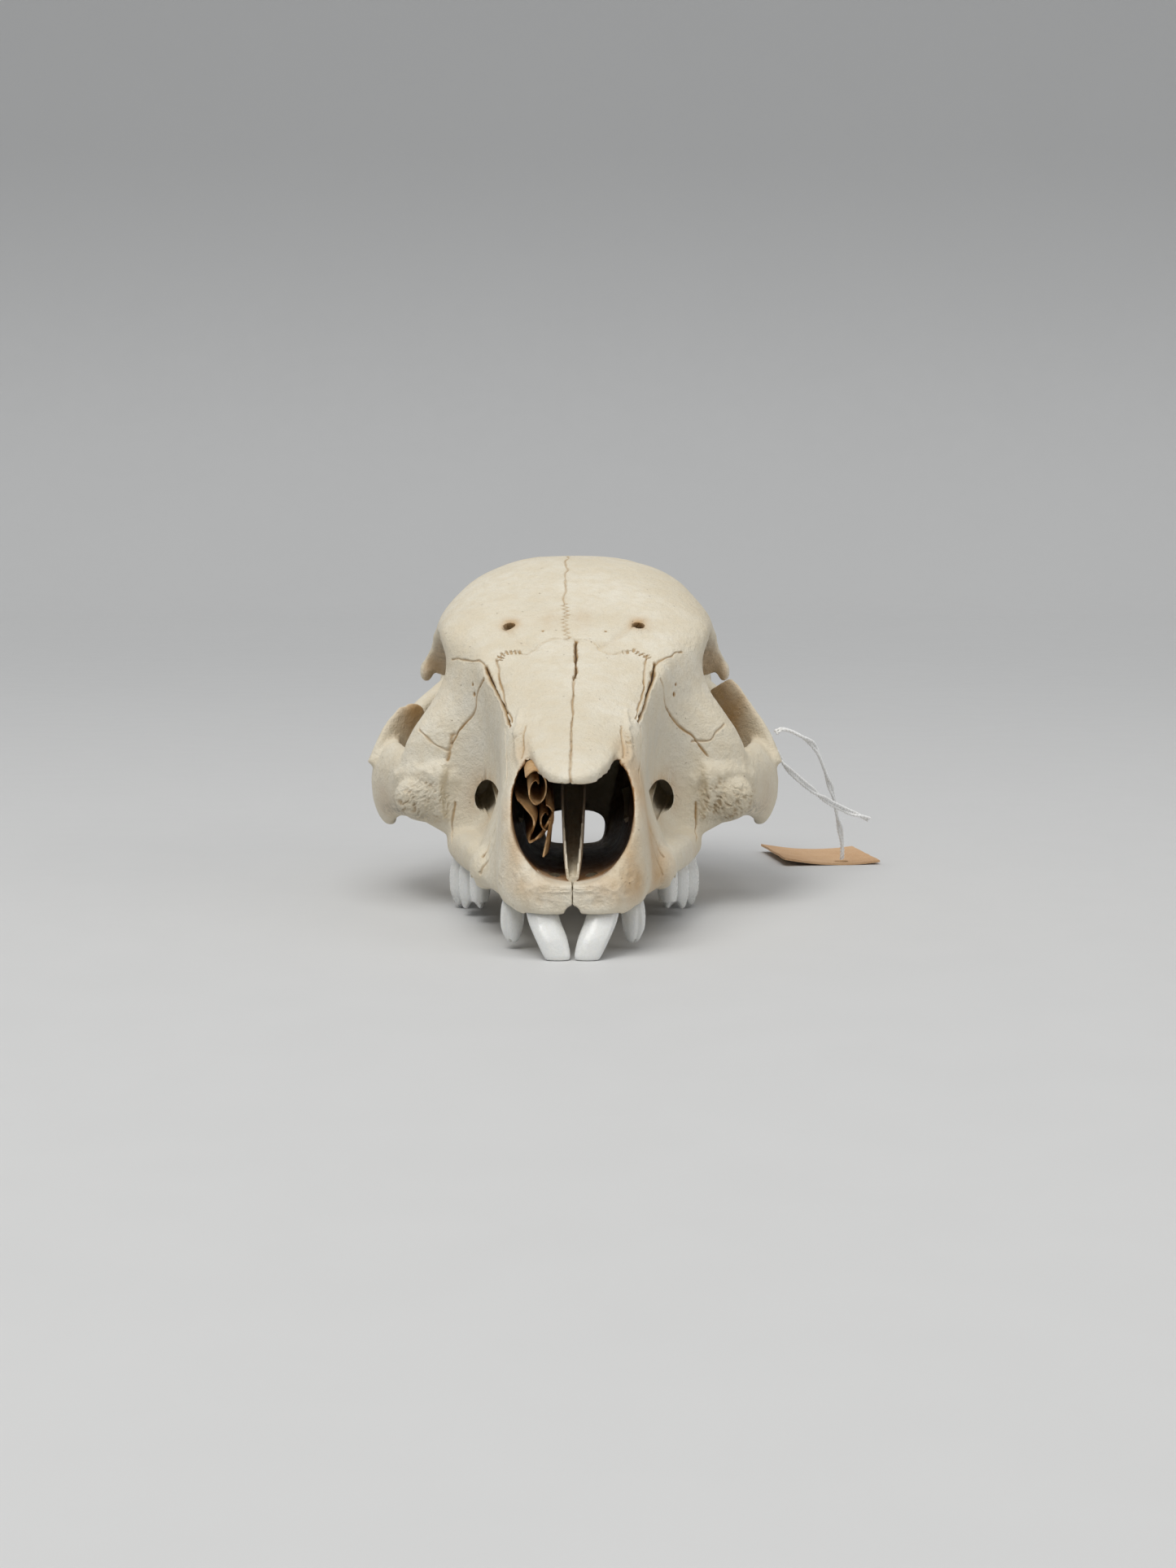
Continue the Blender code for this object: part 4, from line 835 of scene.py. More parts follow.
    # A patch counts from this strength on
    least: float = 0.04
    triangles: int = 105000
    seams: tuple = (
        # Between the two halves of the forehead, fine above and saw-toothed near the nasal bones
        Seam(((-0.6, 112.0, 66.0), (-1.4, 100.8, 65.8), (-1.8, 84.7, 62.8), (-2.0, 76.5, 59.7),
              (-1.8, 70.0, 56.8)),
             width=0.17, depth=0.2, jag=0.35, dark=0.45),
        Seam(((-1.8, 70.0, 56.8), (-1.7, 66.0, 55.0), (-1.7, 62.7, 53.4), (-1.4, 57.4, 50.8)),
             SeamKind.SERRATED, 0.14, 0.24, 0.75, 1.45, 0.55),
        # Across the roots of the nasal bones, with a comb of teeth at each outer end
        Seam(((-1.5, 57.1, 50.7), (-3.8, 57.6, 50.8), (-5.7, 56.3, 50.3), (-7.4, 54.1, 49.2),
              (-8.8, 52.5, 48.1),
              (-10.4, 54.1, 48.6)), width=0.24, depth=0.3, jag=0.3, dark=0.12),
        Seam(((-10.4, 54.1, 48.6), (-12.2, 53.9, 48.3), (-13.6, 53.3, 47.8), (-14.2, 52.2, 47.1)),
             SeamKind.COMB, 0.14, 0.3, 0.6, 0.85, 0.5),
        Seam(((-1.3, 57.7, 50.9), (0.7, 57.3, 50.8), (2.6, 56.8, 50.7), (4.2, 54.5, 49.7), (5.6, 52.3, 48.6),
              (7.5, 51.9, 48.2), (9.5, 53.7, 48.6)), width=0.24, depth=0.3, jag=0.3, dark=0.15),
        Seam(((9.5, 53.7, 48.6), (11.4, 53.8, 48.4), (13.2, 52.6, 47.5)), SeamKind.COMB, 0.14, 0.3, 0.6,
             0.85, 0.5),
        # Between the nasal bones: a dark gap above, a fine line below
        Seam(((0.2, 56.1, 50.4), (0.4, 51.1, 48.3), (0.4, 45.4, 45.9), (0.1, 41.9, 44.4)),
             SeamKind.OPEN, 0.24, 0.6, 0.18, 2.0, 0.92),
        Seam(((0.1, 41.9, 44.4), (-0.1, 31.5, 40.1), (-0.3, 23.2, 36.9), (-0.4, 15.0, 33.8),
              (-0.4, 8.6, 31.2),
              (-0.4, 5.9, 29.1)), width=0.19, depth=0.4, jag=0.15, dark=0.42),
        # Outer edges of the nasal bones, and the dark gaps beside them
        Seam(((-14.2, 52.2, 47.1), (-13.9, 48.7, 45.1), (-13.2, 43.2, 42.4), (-11.9, 36.7, 39.5),
              (-10.8, 31.0, 37.3)),
             width=0.15, dark=0.6),
        Seam(((13.2, 52.6, 47.5), (12.9, 47.9, 45.1), (12.4, 42.1, 42.1), (11.6, 36.2, 39.5),
              (10.8, 32.1, 37.8)),
             width=0.15, dark=0.6),
        Seam(((-16.1, 50.8, 45.5), (-15.3, 48.1, 44.1), (-13.6, 41.8, 40.8), (-12.2, 35.7, 38.6),
              (-11.1, 30.3, 36.6)),
             SeamKind.OPEN, 0.27, 0.8, 0.15, 3.0, 0.97),
        Seam(((14.9, 51.3, 46.3), (14.5, 48.6, 44.9), (13.8, 44.6, 42.6), (12.9, 39.9, 40.1),
              (12.0, 34.7, 38.1),
              (11.5, 32.1, 37.2)), SeamKind.OPEN, 0.27, 0.8, 0.15, 3.0, 0.97),
        # Round the bone in front of the eye
        Seam(((-23.0, 62.4, 46.6), (-21.1, 59.6, 46.8), (-19.3, 56.5, 46.7), (-17.6, 53.8, 46.5),
              (-16.1, 51.0, 45.6)),
             jag=0.4, dark=0.5),
        Seam(((14.9, 51.3, 46.3), (16.2, 52.9, 47.0), (17.8, 55.3, 47.6), (20.0, 58.8, 48.1)), jag=0.4,
             dark=0.62),
        Seam(((-16.6, 49.4, 43.5), (-17.7, 52.8, 41.4), (-18.9, 54.2, 37.2), (-20.3, 55.2, 35.1),
              (-21.9, 56.0, 33.3),
              (-22.9, 56.2, 31.6)), width=0.2, depth=0.34, jag=0.3, dark=0.66),
        Seam(((-22.5, 56.1, 32.4), (-22.9, 56.2, 31.0), (-23.7, 56.3, 28.6)), width=0.34, depth=0.36,
             jag=0.5,
             pitch=1.0, dark=0.56),
        Seam(((15.9, 48.5, 43.4), (16.6, 49.7, 40.3), (17.3, 52.2, 37.4), (18.8, 54.1, 35.5),
              (20.9, 55.4, 33.4),
              (22.7, 56.2, 31.6), (24.8, 56.7, 29.1)), width=0.2, depth=0.34, jag=0.3, dark=0.62),
        Seam(((-29.0, 60.4, 33.3), (-27.4, 58.4, 32.2), (-25.9, 57.4, 31.1), (-23.9, 56.6, 30.2)), dark=0.4),
        Seam(((28.0, 60.0, 34.4), (26.6, 58.1, 33.2), (25.5, 57.3, 31.6), (22.3, 56.0, 31.6)), dark=0.4),
        Seam(((22.6, 56.2, 19.8), (22.8, 56.3, 17.7), (23.0, 56.1, 15.0), (22.6, 51.3, 13.3)), depth=0.3,
             dark=0.66,
             mirrored=True),
        # Ridge over the rough bone under the eye
        Seam(((22.4, 57.0, 24.8), (25.5, 57.6, 25.3), (29.5, 59.6, 25.6), (33.2, 62.8, 24.6)),
             SeamKind.RAISED, 1.1,
             0.55, 0.0, 4.0, 0.0, True),
        # The foremost bones of the snout
        Seam(((8.4, 27.0, 36.6), (8.6, 22.9, 34.4), (8.7, 19.2, 32.1)), dark=0.45, mirrored=True),
        Seam(((12.0, 31.5, 35.9), (11.8, 28.0, 32.9), (11.5, 23.6, 30.6), (11.4, 19.0, 27.8),
              (12.6, 20.0, 22.0),
              (14.0, 22.0, 16.0), (15.2, 24.5, 11.5)), width=0.15, jag=0.4, dark=0.36, mirrored=True),
        Seam(((9.3, 33.0, 38.6), (9.8, 26.3, 35.4), (9.7, 20.6, 32.0), (8.9, 17.9, 31.0)), SeamKind.RAISED,
             0.5, 0.45,
             0.3, 2.6, 0.0, True),
        Seam(((13.7, 25.3, 18.6), (14.4, 26.1, 17.0), (15.0, 26.0, 15.7), (15.6, 25.4, 14.4)), SeamKind.OPEN,
             0.26, 0.6,
             0.1, 3.0, 0.6, True),
        # Grooves that run from the holes in the brow down the forehead
        Seam(((-13.5, 62.6, 52.7), (-12.2, 61.0, 52.0), (-9.7, 57.4, 50.5), (-7.5, 54.3, 49.2)), width=0.75,
             depth=0.34,
             jag=0.1, dark=0.06),
        Seam(((11.1, 63.2, 53.2), (9.6, 60.9, 52.2), (7.2, 57.1, 50.5), (5.1, 54.2, 49.4)), width=0.75,
             depth=0.3,
             jag=0.1, dark=0.1),
        # Across the roof behind the eyes, along its middle, and down both sides of the braincase
        Seam(((0.4, 112.0, 66.0), (6.0, 112.5, 65.6), (11.0, 111.0, 64.6), (17.0, 107.0, 61.0),
              (20.5, 103.0, 56.0),
              (21.0, 100.0, 50.0), (20.0, 97.0, 44.0)), SeamKind.SERRATED, 0.18, 0.28, 0.5, 1.5, 0.6, True),
        Seam(((0.0, 112.0, 66.0), (0.2, 116.0, 65.6), (-0.2, 120.0, 64.6), (0.0, 123.0, 62.5)),
             SeamKind.SERRATED,
             0.17, 0.28, 0.5, 1.4, 0.6),
        Seam(((20.8, 100.0, 48.0), (22.4, 106.0, 50.0), (23.5, 112.0, 50.0), (22.6, 117.0, 48.0)), jag=0.4,
             mirrored=True),
        # On the cheek bone's outer face
        Seam(((39.6, 92.0, 33.5), (39.8, 88.0, 30.5), (39.6, 84.0, 28.5), (39.0, 80.0, 24.5),
              (38.6, 79.0, 20.0)),
             width=0.24, depth=0.34, jag=0.5, dark=0.7, mirrored=True),
        # Under the palate and the base of the skull
        Seam(((0.0, 20.0, 10.0), (0.2, 30.0, 10.0), (-0.1, 42.0, 10.0), (0.1, 54.0, 10.0),
              (0.0, 66.0, 10.5)), jag=0.3,
             dark=0.65),
        Seam(((0.0, 50.0, 10.0), (5.0, 49.0, 10.0), (8.5, 51.0, 10.0), (10.5, 56.0, 10.0),
              (11.5, 62.0, 10.5)),
             SeamKind.SERRATED, 0.18, 0.26, 0.4, 1.6, 0.6, True),
        Seam(((0.0, 25.0, 9.6), (5.0, 25.5, 9.6), (9.0, 27.5, 9.6), (13.0, 26.0, 9.6)), jag=0.4,
             mirrored=True),
        Seam(((0.0, 104.0, 20.0), (3.0, 104.2, 20.0), (6.5, 104.0, 20.5)), SeamKind.OPEN, 0.36, 0.5, 0.2,
             2.4, 0.75,
             True),
        Seam(((9.0, 127.0, 33.0), (13.0, 124.0, 37.0), (17.0, 121.0, 42.0), (20.0, 119.0, 47.0)), jag=0.4,
             mirrored=True),
    )
    # Broken, spongy bone under the front of the cheek bones, and puffed bone over the front teeth
    rough: tuple = (Patch((28.4, 57.4, 20.2), (5.2, 4.6, 3.9)),
                    Patch((32.8, 60.4, 19.6), (2.8, 3.8, 3.4), 0.9),
                    Patch((24.2, 56.6, 18.6), (2.2, 3.0, 3.0), 0.4),
                    Patch((9.6, 25.0, 34.6), (1.3, 9.0, 2.4), 0.5))
    puffy: tuple = (Patch((5.0, 3.4, 10.8), (4.4, 4.4, 2.2)), Patch((12.0, 9.0, 12.2), (3.0, 4.4, 2.4), 0.8),
                    Patch((8.2, 4.8, 13.2), (3.2, 3.6, 1.8), 0.7))
    # Stains, greyer places, and painted shade on the brow plates' inner faces and under the cheek bones
    tan: tuple = (Patch((11.2, 17.0, 26.0), (2.4, 7.0, 7.0), 0.7, (1,)),
                  Patch((13.8, 23.0, 17.0), (3.4, 7.0, 6.0), 0.75, (1,)),
                  Patch((15.2, 22.5, 10.4), (3.2, 5.0, 3.0), 0.6, (1,)),
                  Patch((10.5, 6.6, 12.0), (3.4, 4.0, 3.4), 0.6, (1,)),
                  Patch((9.4, 7.0, 17.2), (1.8, 3.4, 3.8), 0.6),
                  Patch((10.3, 11.7, 22.8), (1.8, 4.0, 3.4), 0.45, (-1,)),
                  Patch((6.4, 3.4, 11.8), (4.6, 3.4, 2.6), 0.5),
                  Patch((30.6, 82.4, 34.4), (5.0, 6.0, 8.0), 1.0, (1, -1), (-0.7, -0.7, 0.0)),
                  # The bone's tan stain on the brow plates' inner faces, deepened there as painted shade
                  Patch((26.8, 86.6, 45.5), (4.4, 5.0, 5.0), 0.6, (1, -1), (-0.6, -0.8, -0.3)),
                  Patch((21.0, 84.0, 38.0), (7.0, 14.0, 10.0), 0.5),
                  Patch((0.0, 60.0, 10.0), (14.0, 30.0, 2.0), 0.25),
                  Patch((16.4, 52.0, 21.8), (3.4, 7.0, 4.4), 1.0, (1, -1), (0.0, -0.4, -1.0)),
                  Patch((16.0, 47.0, 21.4), (2.8, 3.6, 4.6), 0.5),
                  Patch((12.2, 63.6, 53.2), (1.7, 2.6, 1.7), 1.0),
                  Patch((-4.7, 64.0, 54.4), (1.9, 3.4, 3.0), 0.3, (1,)),
                  Patch((1.5, 64.0, 54.4), (1.9, 3.4, 3.0), 0.3, (1,)),
                  Patch((8.7, 20.0, 32.6), (1.6, 6.0, 3.0), 0.5),
                  Patch((36.5, 69.0, 19.0), (2.6, 7.0, 5.0), 0.3),
                  Patch((18.0, 62.6, 12.0), (6.0, 14.0, 2.4), 0.4),
                  Patch((8.0, 112.0, 20.0), (10.0, 14.0, 6.0), 0.35))
    cool: tuple = (Patch((15.0, 46.0, 34.0), (3.6, 9.0, 6.0), 0.55),
                   Patch((19.0, 54.0, 30.0), (3.2, 5.0, 5.0), 0.6),
                   Patch((14.0, 38.0, 27.0), (3.4, 8.0, 5.0), 0.5),
                   Patch((19.0, 54.0, 22.5), (3.0, 5.0, 4.0), 0.5),
                   Patch((20.0, 56.4, 40.0), (2.6, 4.0, 3.6), 0.5),
                   Patch((35.5, 70.0, 21.0), (3.0, 8.0, 4.0), 0.55),
                   Patch((22.0, 74.0, 47.0), (6.0, 5.0, 5.0), 0.6),
                   Patch((20.0, 45.0, 16.0), (4.0, 10.0, 5.0), 0.45),
                   # Painted shade: greyer on the brow plates' inner faces
                   Patch((24.6, 84.0, 47.5), (4.0, 5.0, 5.0), 1.0, (1, -1), (-0.6, -0.8, -0.3)))
    # Painted shade: darker grey under the front of the cheek bones and on the brow plates' inner faces
    grime: tuple = (Patch((34.4, 62.0, 17.4), (2.0, 3.4, 1.8), 0.9),
                    Patch((29.0, 58.0, 17.0), (3.0, 3.0, 1.0), 0.35),
                    Patch((24.4, 83.6, 46.6), (3.6, 4.0, 4.6), 0.4, (1, -1), (-0.6, -0.8, -0.3)),
                    Patch((36.5, 66.0, 17.0), (2.4, 5.0, 1.8), 0.5))
    # Small pits and holes on both sides: place and size. Each is painted near black inside as shade
    pits: tuple = (
        ((18.6, 54.2, 40.6), 0.42), ((18.9, 54.8, 42.4), 0.3), ((5.5, 44.0, 44.9), 0.24),
                   ((5.9, 60.3, 52.1), 0.26),
        ((9.4, 66.4, 55.0), 0.2), ((3.4, 36.4, 42.2), 0.18), ((16.4, 47.0, 26.0), 0.3),
                   ((9.0, 56.0, 10.0), 0.7),
        ((7.4, 61.0, 10.0), 0.35), ((12.5, 105.0, 27.0), 0.5), ((11.0, 121.0, 31.0), 0.55),
                   ((22.5, 90.0, 40.0), 0.4),
    )

    def outline_loft(self, table: Rows, span: int = 5) -> Surface:
        """A body alike on both sides, from half outlines along y, on Catmull-Rom curves both ways."""
        rows = smooth_rows([[y, *np.ravel(half)] for y, half in table], span)
        rings = []
        for row in rows:
            half = row[1:].reshape(-1, 2)
            outline = smooth_ring(np.vstack([half, half[-2:0:-1] * (-1, 1)]), 4)
            rings.append(np.column_stack([outline[:, 0], np.full(len(outline), row[0]), outline[:, 1]]))
        return lofted(np.array(rings))

    def nasal_roof(self) -> Surface:
        """The nasal bones: z = top - drop t2 across, t from -1 to 1, and the lower face a thickness below."""
        y, half, top, drop, thick = smooth_rows(self.nasals, 5).T[:, :, None]
        t = np.linspace(-1, 1, 31)[None, :]
        upper = np.stack([half * t, y + 0 * t, top - drop * t * t], axis=-1)
        lower = np.stack([half * t * 0.96, y + 0 * t, top - thick - drop * t * t], axis=-1)[:, ::-1]
        return lofted(np.concatenate([upper, lower], axis=1))

    def arch_bar(self, side: int, grow: float = 0.0, count: int = 34) -> Surface:
        """The cheek bone: tall rounded rings whose edges curve in by the square of their height."""
        return lofted(self.arch_rings(side, grow, count))

    def arch_rings(self, side: int, grow: float, count: int, span: int = 8) -> Array:
        """The rings of the cheek bone, grown by grow."""
        rows = smooth_rows(self.arch, span)
        middle = rows[:, :3] * (side, 1, 1)
        way = np.gradient(middle, axis=0) * (1, 1, 0)
        across = unit(np.cross(way, (0, 0, 1.0)))
        rings = ovals(middle, across, (0, 0, 1.0), rows[:, 4] + grow, rows[:, 3] + grow, count, 3.0)
        height = (rings[..., 2] - rows[:, 2, None]) / rows[:, 3, None]
        rings[..., 0] -= side * np.where(height < 0, rows[:, 5, None], rows[:, 6, None]) * height**2
        return rings

    def crest_bar(self) -> Surface:
        """The crest from ear to ear, as one round bar."""
        half = np.asarray(self.crest, float)
        rows = smooth_rows(np.vstack([half[:0:-1] * (-1, 1, 1, 1), half]), 6)
        forward = unit(np.gradient(rows[:, :3], axis=0))
        across = unit(np.cross(forward, (0, 1.0, 0)))
        return lofted(ovals(rows[:, :3], across, np.cross(across, forward), rows[:, 3], rows[:, 3], 20))

    def hole_bar(self, hole: Rows, side: int) -> Surface:
        """The bar that cuts a hole."""
        start, end, half_up, half_across, up = hole
        return swept([(*start, half_up, half_across), (*end, half_up, half_across)], side, up, 28, 2.0, 1)

    def hollows(self) -> list[Surface]:
        """What is taken out of the mass."""
        rounded = [ellipsoid(*size, side) for side, _ in SIDES for size in self.scooped]
        return [self.outline_loft(table) for table in (self.nose, self.throat, self.brain)] + rounded

    def outgrowths(self) -> list[Surface]:
        """What is joined to it."""
        parts = [self.crest_bar(), self.nasal_roof()]
        for side, _ in SIDES:
            parts += [self.arch_bar(side), swept(self.cheek_spurs[side], side, (0.72, -0.7, 0.0)),
                      swept(self.brow_spur, side, (1, 0, 0)), swept(self.ear_process, side, (0, 1, 0)),
                      swept(self.palate_wing, side, (0, 1, 0)), swept(self.tooth_ridge, side, (0, 0, 1))]
            parts += [ellipsoid(*size, side) for size in self.swellings]
        return parts

    def cutters(self, teeth: list[Surface]) -> list[Surface]:
        """What is cut out of the skin: the sockets of the teeth, the holes, and the floor under the feet."""
        parts = [block(*self.under), block(*self.slit), *teeth]
        for side, _ in SIDES:
            parts += [ellipsoid(*size, side) for size in self.empty_sockets]
            parts += [self.hole_bar(hole, side) for hole in self.holes]
        return parts

    def skin(self, teeth: list[Surface]) -> Surface:
        """Joins and cuts the solids with modifiers and reads the result back as triangles.

        Args:
            teeth: the shapes to cut their sockets with.

        Returns:
            The bare skin.
        """
        made: list[bpy.types.Object] = []
        groups = []
        for name, parts in (("hollows", self.hollows()), ("outgrowths", self.outgrowths()),
                            ("sockets", self.cutters(teeth))):
            group = bpy.data.collections.new(name)
            groups.append(group)
            for n, part in enumerate(parts):
                mesh = bpy.data.meshes.new(f"{name}_{n}")
                fill_mesh(mesh, placed(part.points), part.faces)
                made.append(bpy.data.objects.new(f"{name}_{n}", mesh))
                group.objects.link(made[-1])
            bpy.context.scene.collection.children.link(group)
        base = add_piece("bare_skull", self.outline_loft(self.mass))
        made.append(base)
        for group, operation in ((groups[0], "DIFFERENCE"), (groups[1], "UNION"), (groups[2], "DIFFERENCE")):
            if group is groups[2]:
                net = base.modifiers.new("skin", "REMESH")
                net.mode = "VOXEL"
                net.voxel_size = self.skin_step * MM
                soften = base.modifiers.new("soften", "SMOOTH")
                soften.factor = 0.5
                soften.iterations = round(4 * (0.85 / self.skin_step) ** 1.5)
                graph = bpy.context.evaluated_depsgraph_get()
                count = len(read_mesh(base.evaluated_get(graph).to_mesh())[1])
                lighten = base.modifiers.new("lighten", "DECIMATE")
                lighten.ratio = self.triangles / count
            cut = base.modifiers.new(group.name, "BOOLEAN")
            cut.operation = operation
            cut.operand_type = "COLLECTION"
            cut.collection = group
            cut.solver = "EXACT"
        graph = bpy.context.evaluated_depsgraph_get()
        points, triangles = read_mesh(base.evaluated_get(graph).to_mesh())
        log.info("bare skull: %d triangles", len(triangles))
        for old in made:
            mesh = old.data
            bpy.data.objects.remove(old)
            bpy.data.meshes.remove(mesh)
        for group in groups:
            bpy.data.collections.remove(group)
        return Surface(points, [triangles])

    def refined(self, bare: Surface) -> Surface:
        """Makes the skin finer near seams, rough patches and the edges of holes, in a few rounds."""
        surface = bare
        for level in self.net_rounds:
            points, normals = surface.points, surface.normals()
            wanted = np.full(len(points), self.coarse)
            for patch in self.rough + self.puffy:
                wanted = np.where(patch.mask(points, normals) > 0.22, max(level, self.patch_net), wanted)
            for seam in self.seams:
                close = seam.distance(points, normals, 2.5) < 4 * seam.width + seam.jag + 0.5 * level
                wanted[close] = np.minimum(wanted[close], max(level, seam.spacing() * 1.25))
            for pit, size in self.pits:
                for side in (1, -1):
                    close = np.linalg.norm(points - np.asarray(pit) * (side, 1, 1),
                                           axis=1) < 2.5 * size + 0.6
                    wanted[close] = np.minimum(wanted[close], max(level, self.pit_net))
            front = points[:, 1] < 9.5
            wanted[front] = np.minimum(wanted[front], self.tip_net)
            surface = split_edges(surface, wanted)
        return surface

    def carve(self, surface: Surface) -> dict[str, Array]:
        """Moves the points of the skin along their normals, and works out what its material reads.

        Seams and pits go in, ridges and puffed bone come out, and the nose's tip is scalloped. The rough
        patches are a network with pits: a pit is deepest at the middle of its grain, on top of fine noise.

        Args:
            surface: the skin. Its points are changed.

        Returns:
            Numbers for each point, by name.
        """
        points, normals = surface.points, surface.normals()
        move = 0.16 * wavy(points, 9.0, 3, 2) + 0.05 * wavy(points, 2.6, 9)
        dark = np.zeros(len(points))
        for seam in self.seams:
            for side in (1, -1) if seam.mirrored else (1,):
                which, push, shade = seam.carve(points, normals, side)
                move[which] += push
                dark[which] = np.maximum(dark[which], shade)
        front = 0.35 + 0.65 * ramp(-normals[:, 1], -0.1, 0.5)
        rough = np.zeros(len(points))
        for patch in self.rough:
            rough = np.maximum(rough, patch.mask(points, normals) * front)
        some = np.flatnonzero(rough > self.least)
        if len(some):
            here = points[some] + 0.45 * np.column_stack([wavy(points[some], 1.3, n) for n in (4, 5, 6)])
            # Drawn out along a line that runs outwards and up, as the spongy bone's struts do
            lean = np.abs(here[:, 0]) * 0.5 + here[:, 2] * 0.87
            drawn = np.column_stack([here[:, 0] * 0.75, here[:, 1] * 0.8, lean * 1.35])
            first, _ = grains(drawn, self.grain, 11)
            fine = np.abs(wavy(drawn, 0.55, 14)) + 0.5 * np.abs(wavy(here, 0.4, 16))
            swell = wavy(here, 2.4, 17)
            weight = ramp(rough[some], 0.06, 0.55)
            hollow = ramp(0.62 - first, 0.0, 0.45) * np.clip(0.5 + 1.3 * wavy(here, 1.7, 15), 0, 1.2)
            move[some] += (0.1 - self.pit_depth * hollow - 0.3 * (fine - 0.25) + 0.12 * swell) * weight
            # Painted shade: darker in each grain's pit
            dark[some] = np.maximum(dark[some], 0.3 * np.clip(hollow, 0, 1) * weight)
        puffy = np.zeros(len(points))
        for patch in self.puffy:
            puffy = np.maximum(puffy, patch.mask(points, normals) * ramp(-normals[:, 1], -0.2, 0.4))
        some = np.flatnonzero(puffy > self.least)
        if len(some):
            here = points[some] + 0.5 * np.column_stack([wavy(points[some], 1.5, n) for n in (7, 8, 9)])
            # Worm-like swirls: high where the noise is near nothing
            swirl = np.abs(wavy(here * (1, 0.6, 1), 1.35, 23)) + 0.4 * np.abs(wavy(here, 0.7, 29))
            weight = ramp(puffy[some], 0.05, 0.6)
            move[some] += self.swirl_height * (0.3 - swirl) * weight
            dark[some] = np.maximum(dark[some], 0.07 * ramp(swirl, 0.3, 0.75) * weight)
        for pit, size in self.pits:
            for side in (1, -1):
                away = np.linalg.norm(points - np.asarray(pit) * (side, 1, 1), axis=1) / size
                move -= size * np.exp(-(away**4))
                # Painted shade: the pit darkens nearly to black
                dark = np.maximum(dark, 0.85 * np.exp(-(away**4)))
        tip = spot(points, (0, 6.0, 30.0), (7.5, 2.6, 3.0))
        move += tip * 0.35 * wavy(points * (1, 0.4, 0.4), 1.7, 31)
        points += normals * move[:, None]
        inner = self.inside(points, normals)
        # The last of these masks is painted shade on the brow plates' inner faces and under the cheek bones
        masks = {name: np.clip(sum(patch.mask(points, normals) for patch in patches), 0, 1)
                 for name, patches in (("tan", self.tan), ("cool", self.cool), ("grime", self.grime))}
        # groove carries the seams' own dark lines, and the painted shade in pits, holes and the rough
        # patches' grains
        return {"groove": np.clip(dark, 0, 1), "rough": rough, "inner": inner, **masks}

    def inside(self, points: Array, normals: Array) -> Array:
        """How far a point is on the inner walls of the nose, from 0 to 1: those that face its middle line."""
        x, y, z = points.T
        towards = np.column_stack([-x, 0 * x, 24 - z])
        faces_in = ramp(np.einsum("ij,ij->i", unit(towards), normals), 0.0, 0.5)
        nose = faces_in * (np.abs(x) < 13.5) * ramp(y, 5.5, 13) * (y < 68) * (z < 46) * (z > 10.5)
        return np.clip(nose * (np.abs(x) < 11.9 + 0.06 * np.maximum(z - 30, 0)), 0, 1)

    def build(self, teeth: list[Surface], finish: bpy.types.Material) -> bpy.types.Object:
        """Skins, refines, carves and dresses the skull."""
        surface = self.refined(self.skin(teeth))
        values = self.carve(surface)
        log.info("carved skull: %d triangles", len(surface.faces[0]))
        piece = add_piece("bones", surface, finish, 70.0)
        for name, numbers in values.items():
            set_values(piece, name, numbers)
        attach(piece, "root")
        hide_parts("cranium")
        return piece


